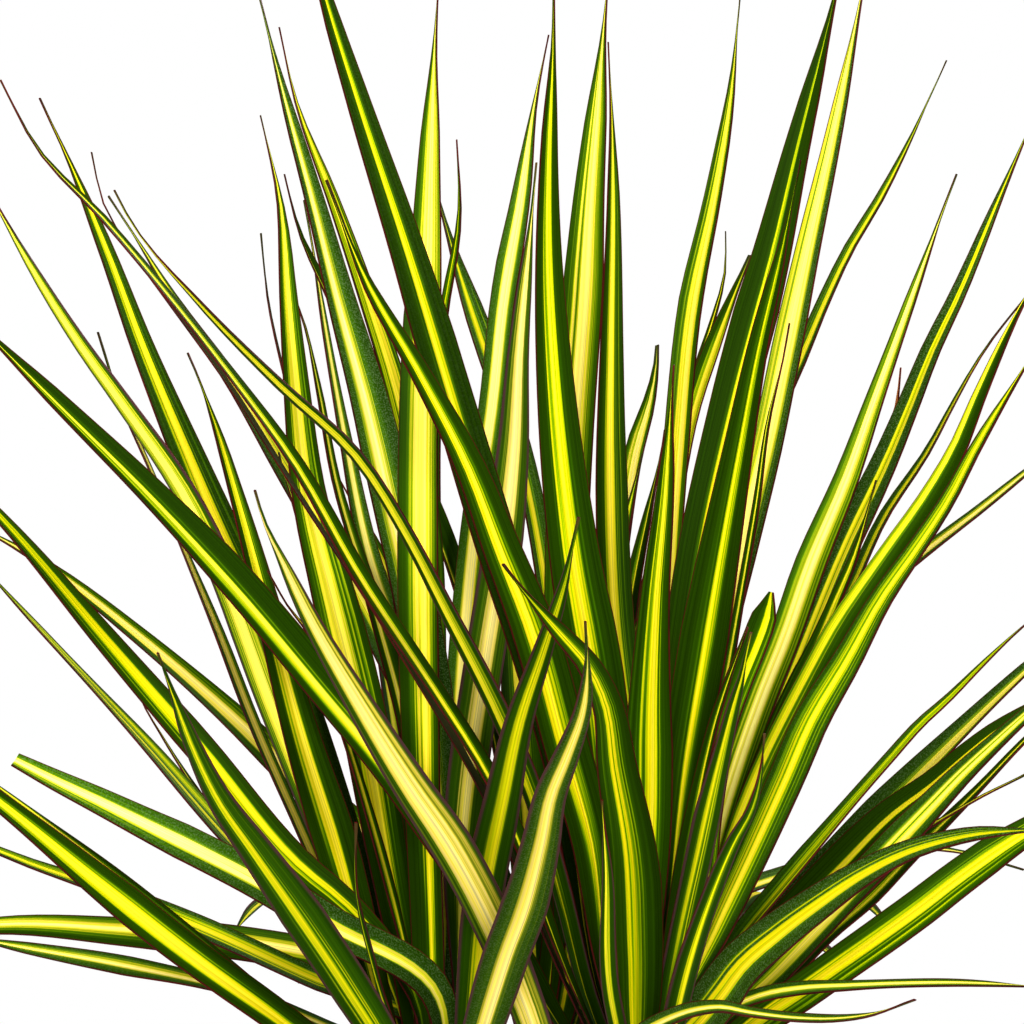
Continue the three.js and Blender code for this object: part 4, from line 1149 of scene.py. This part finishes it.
def pot_profile(settings):
    """The outline of half the pot, from the rim of the foot up over the rim to the floor."""
    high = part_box("pot")[1]
    height = high[2] / MM
    rim = high[0] / MM
    wall = settings.wall / MM
    below = height - settings.band_height / MM

    def wall_radius(level):
        return POT_FOOT_RADIUS + (rim - BAND_DEPTH - POT_FOOT_RADIUS) * level / height

    start, clearance, step = OUTER_LEVELS
    outer = range(start, int(below) - clearance, step)
    clearance, end, step = INNER_LEVELS
    inner = range(int(height) - clearance, end, -step)
    outline = [(POT_FOOT_RADIUS + out, up) for out, up in FOOT_ROUNDING]
    outline += [(wall_radius(level), level) for level in outer]
    outline += [(wall_radius(below) + out, below + up) for out, up in BAND_ROUNDING]
    outline += [(rim + out, height + up) for out, up in RIM_ROUNDING]
    outline += [(wall_radius(height) - wall + out, height + up) for out, up in INNER_ROUNDING]
    outline += [(wall_radius(level) - wall, level) for level in inner]
    outline.append((wall_radius(POT_FLOOR) - wall - FLOOR_COVE, POT_FLOOR))
    return outline


def add_drained_floor(shape):
    """Close the foot and the floor of a pot round its drain holes, and line the holes."""
    rims = [edge for edge in shape.edges if edge.is_boundary]
    levels = sorted({round(vert.co.z, 5) for edge in rims for vert in edge.verts})
    open_edges = {
        level: [edge for edge in rims if round(edge.verts[0].co.z, 5) == level] for level in levels
    }
    for hole in range(DRAIN_HOLES):
        turn = math.tau * hole / DRAIN_HOLES
        middle = Vector((math.cos(turn), math.sin(turn), 0)) * DRAIN_CIRCLE * MM
        rings = []
        for level in levels:
            ring = bmesh.ops.create_circle(
                shape, segments=DRAIN_STEPS, radius=DRAIN_RADIUS * MM)["verts"]
            bmesh.ops.translate(shape, verts=ring, vec=middle + Vector((0, 0, level)))
            rings.append(ring)
            open_edges[level] += [
                edge for edge in shape.edges if edge.verts[0] in ring and edge.verts[1] in ring
            ]
        lower, upper = rings
        for k in range(DRAIN_STEPS):
            after = (k + 1) % DRAIN_STEPS
            shape.faces.new((lower[k], lower[after], upper[after], upper[k]))
    for level in levels:
        bmesh.ops.triangle_fill(shape, use_beauty=True, edges=open_edges[level])
    bmesh.ops.recalc_face_normals(shape, faces=shape.faces)


def build_pot(settings, material):
    """The clay pot, whose walls waver inwards a little as hand-pressed clay does."""
    shape = spun(pot_profile(settings), settings.segments)
    add_drained_floor(shape)
    for vert in shape.verts:
        place = vert.co.copy()
        drift = noise.noise(place * CLAY_LUMPS) * CLAY_DRIFT * MM
        radius = math.hypot(place.x, place.y)
        if radius > DRIFT_START * MM:
            vert.co.x -= place.x / radius * abs(drift)
            vert.co.y -= place.y / radius * abs(drift)
    finish_piece(shape, "clay_pot", [material], ["pot"])


def soil_height(x, y, edge, top):
    """Uneven top of the soil in mm: a low dome with lumps."""
    out = math.hypot(x, y) / edge
    lumps = sum(
        rise * noise.noise(Vector((x / width, y / width, level)))
        for rise, width, level in SOIL_LUMPS)
    return top - SOIL_DROP - SOIL_DOME * out ** 2 + lumps * (1 - LUMP_FADE * out)


def build_soil(materials):
    """The potting mix, and the bits that lie on it in seeded draws."""
    low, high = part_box("soil")
    edge = high[0] / MM - SOIL_GAP
    top = high[2] / MM
    bottom = low[2] / MM
    profile = [(0, bottom), (SOIL_BASE_RADIUS, bottom), (edge, top - SOIL_SHOULDER)]
    profile += [(edge * (1 - i / SOIL_RINGS), top - SOIL_SKIN) for i in range(SOIL_RINGS + 1)]
    shape = spun(profile, SOIL_STEPS)
    for vert in shape.verts:
        x, y, z = (c / MM for c in vert.co)
        if z > top - SOIL_SKIN - 1:
            vert.co.z = soil_height(x, y, edge, top) * MM
    finish_piece(shape, "potting_mix", [materials["moist_peat"]], ["soil"])
    chance = random.Random(BIT_SEED)
    for name, (finish, count, size, flat) in SOIL_BITS.items():
        bits = bmesh.new()
        for _ in range(count):
            radius = math.sqrt(chance.random()) * (edge - BIT_MARGIN)
            turn = chance.random() * math.tau
            x = radius * math.cos(turn)
            y = radius * math.sin(turn)
            height = soil_height(x, y, edge, top) + BIT_LIFT
            first = len(bits.verts)
            bmesh.ops.create_icosphere(bits, subdivisions=1, radius=1.0)
            bits.verts.ensure_lookup_table()
            across = size * between(BIT_SIZES, chance.random())
            spin = chance.random() * math.tau
            for vert in bits.verts[first:]:
                lump = 1 + BIT_LUMPS * (chance.random() - 0.5)
                along = vert.co.x * across * lump
                aside = vert.co.y * across * BIT_WIDTH * lump
                up = vert.co.z * across * flat * BIT_HEIGHT
                vert.co.x = (x + along * math.cos(spin) - aside * math.sin(spin)) * MM
                vert.co.y = (y + along * math.sin(spin) + aside * math.cos(spin)) * MM
                vert.co.z = (height + up) * MM
        finish_piece(bits, name, [materials[finish]], smooth_faces=False)


# Stage


def build_floor(scene, settings):
    floor_shape = bmesh.new()
    bmesh.ops.create_circle(floor_shape, cap_ends=True, segments=96, radius=FLOOR_RADIUS)
    floor_mesh = bpy.data.meshes.new("floor")
    floor_shape.to_mesh(floor_mesh)
    floor_shape.free()
    # Pale floor paint, rolled on: plain and nearly matt
    material, add = new_material("pale_floor_paint")
    paint = add("ShaderNodeBsdfPrincipled", {"Base Color": settings.floor, "Roughness": 0.7})
    add("ShaderNodeOutputMaterial", {0: paint})
    floor_mesh.materials.append(material)
    floor = bpy.data.objects.new("floor", floor_mesh)
    scene.collection.objects.link(floor)


def build_light(scene, settings):
    """A plain white backdrop that throws a softer light on the plant, and soft area lights."""
    world = bpy.data.worlds.new("white_surround")
    world.use_nodes = True
    world.node_tree.nodes.clear()
    add = partial(add_node, world.node_tree)
    seen = add("ShaderNodeBackground", {0: srgb("#FFFFFF"), 1: 1.0})
    thrown = add("ShaderNodeBackground", {0: srgb("#FFFFFF"), 1: settings.sky})
    watched = add("ShaderNodeLightPath", output="Is Camera Ray")
    mixed = add("ShaderNodeMixShader", {0: watched, 1: thrown, 2: seen})
    add("ShaderNodeOutputWorld", {0: mixed})
    scene.world = world
    scene.view_settings.view_transform = "Standard"
    scene.view_settings.gamma = settings.contrast
    for name, (place, share) in LIGHTS.items():
        data = bpy.data.lights.new(name, "AREA")
        data.size = LIGHT_SIZE
        data.energy = settings.key_power * share
        light = bpy.data.objects.new(name, data)
        light.location = place
        aim = LIGHT_AIM - light.location
        light.rotation_euler = aim.to_track_quat("-Z", "Y").to_euler()
        scene.collection.objects.link(light)


def build_camera(scene, settings):
    camera_data = bpy.data.cameras.new("camera")
    camera_data.sensor_width = SENSOR_WIDTH
    camera_data.lens = SENSOR_WIDTH * settings.eye_distance / settings.view_width
    camera_data.clip_start = 0.01
    camera = bpy.data.objects.new("camera", camera_data)
    camera.location = (EYE.x * MM, -settings.eye_distance, EYE.z * MM)
    camera.rotation_euler = (math.pi / 2, 0, 0)
    scene.collection.objects.link(camera)
    scene.camera = camera


# Operators and panel


class PLANT_OT_crowns(bpy.types.Operator):
    """Build the leafy crowns and their green stems"""
    bl_idname = "plant.crowns"
    bl_label = "Build Crowns"

    def execute(self, context):
        settings = context.scene.plant_leaves
        stops = UPPER_SIDE["vivid"]
        upper = {
            **UPPER_SIDE,
            "vivid": ((0.0, settings.stripe), *stops[1:-1], (1.0, settings.margin)),
        }
        materials = [
            leaf_material("waxy_leaf_upper_side", upper),
            leaf_material("waxy_leaf_underside", UNDER_SIDE),
            dry_material("red_leaf_rim"),
        ]
        sheath = dry_material("leaf_sheath_skin")
        leaves = all_leaves()
        for name in CROWN_AXES:
            build_crown(name, leaves, settings, materials)
            build_stem(name, sheath)
        return {"FINISHED"}


class PLANT_OT_canes(bpy.types.Operator):
    """Build the woody canes with their ring scars"""
    bl_idname = "plant.canes"
    bl_label = "Build Canes"

    def execute(self, context):
        bark = dry_material("corky_cane_bark")
        for name in CROWN_AXES:
            build_cane(name, bark)
        return {"FINISHED"}


class PLANT_OT_soil(bpy.types.Operator):
    """Build the potting mix and the bits that lie on it"""
    bl_idname = "plant.soil"
    bl_label = "Build Soil"

    def execute(self, context):
        finishes = ("moist_peat", *(bit[0] for bit in SOIL_BITS.values()))
        build_soil({finish: dry_material(finish) for finish in finishes})
        return {"FINISHED"}


class PLANT_OT_pot(bpy.types.Operator):
    """Build the clay pot"""
    bl_idname = "plant.pot"
    bl_label = "Build Pot"

    def execute(self, context):
        settings = context.scene.plant_pot
        dark, middle, pale = FINISHES["unglazed_terracotta"]["stops"]
        clay = dry_material(
            "unglazed_terracotta", stops=(dark, (middle[0], settings.clay), pale))
        build_pot(settings, clay)
        return {"FINISHED"}


class PLANT_OT_stage(bpy.types.Operator):
    """Build the floor, the lights and the camera"""
    bl_idname = "plant.stage"
    bl_label = "Build Stage"

    def execute(self, context):
        scene = context.scene
        build_floor(scene, scene.plant_stage)
        build_light(scene, scene.plant_stage)
        build_camera(scene, scene.plant_stage)
        return {"FINISHED"}


class PLANT_PT_panel(bpy.types.Panel):
    """Settings and steps of the potted dragon tree"""
    bl_label = "Potted Dragon Tree"
    bl_idname = "PLANT_PT_panel"
    bl_space_type = "VIEW_3D"
    bl_region_type = "UI"
    bl_category = "Plant"

    def draw(self, context):
        for name in SETTINGS:
            group = getattr(context.scene, name)
            box = self.layout.box()
            for key in group.__annotations__:
                box.prop(group, key)
        for step in STEPS:
            self.layout.operator(f"plant.{step}")


STEPS = ("stage", "pot", "soil", "canes", "crowns")
SETTINGS = {
    "plant_leaves": LeafSettings,
    "plant_pot": PotSettings,
    "plant_stage": StageSettings,
}
CLASSES = (
    *SETTINGS.values(), PLANT_OT_crowns, PLANT_OT_canes, PLANT_OT_soil, PLANT_OT_pot,
    PLANT_OT_stage, PLANT_PT_panel,
)


def register():
    for item in CLASSES:
        bpy.utils.register_class(item)
    for name, group in SETTINGS.items():
        setattr(bpy.types.Scene, name, bpy.props.PointerProperty(type=group))


def unregister():
    for name in SETTINGS:
        delattr(bpy.types.Scene, name)
    for item in reversed(CLASSES):
        bpy.utils.unregister_class(item)


def main():
    register()
    for step in STEPS:
        getattr(bpy.ops.plant, step)()


if __name__ == "__main__":
    main()
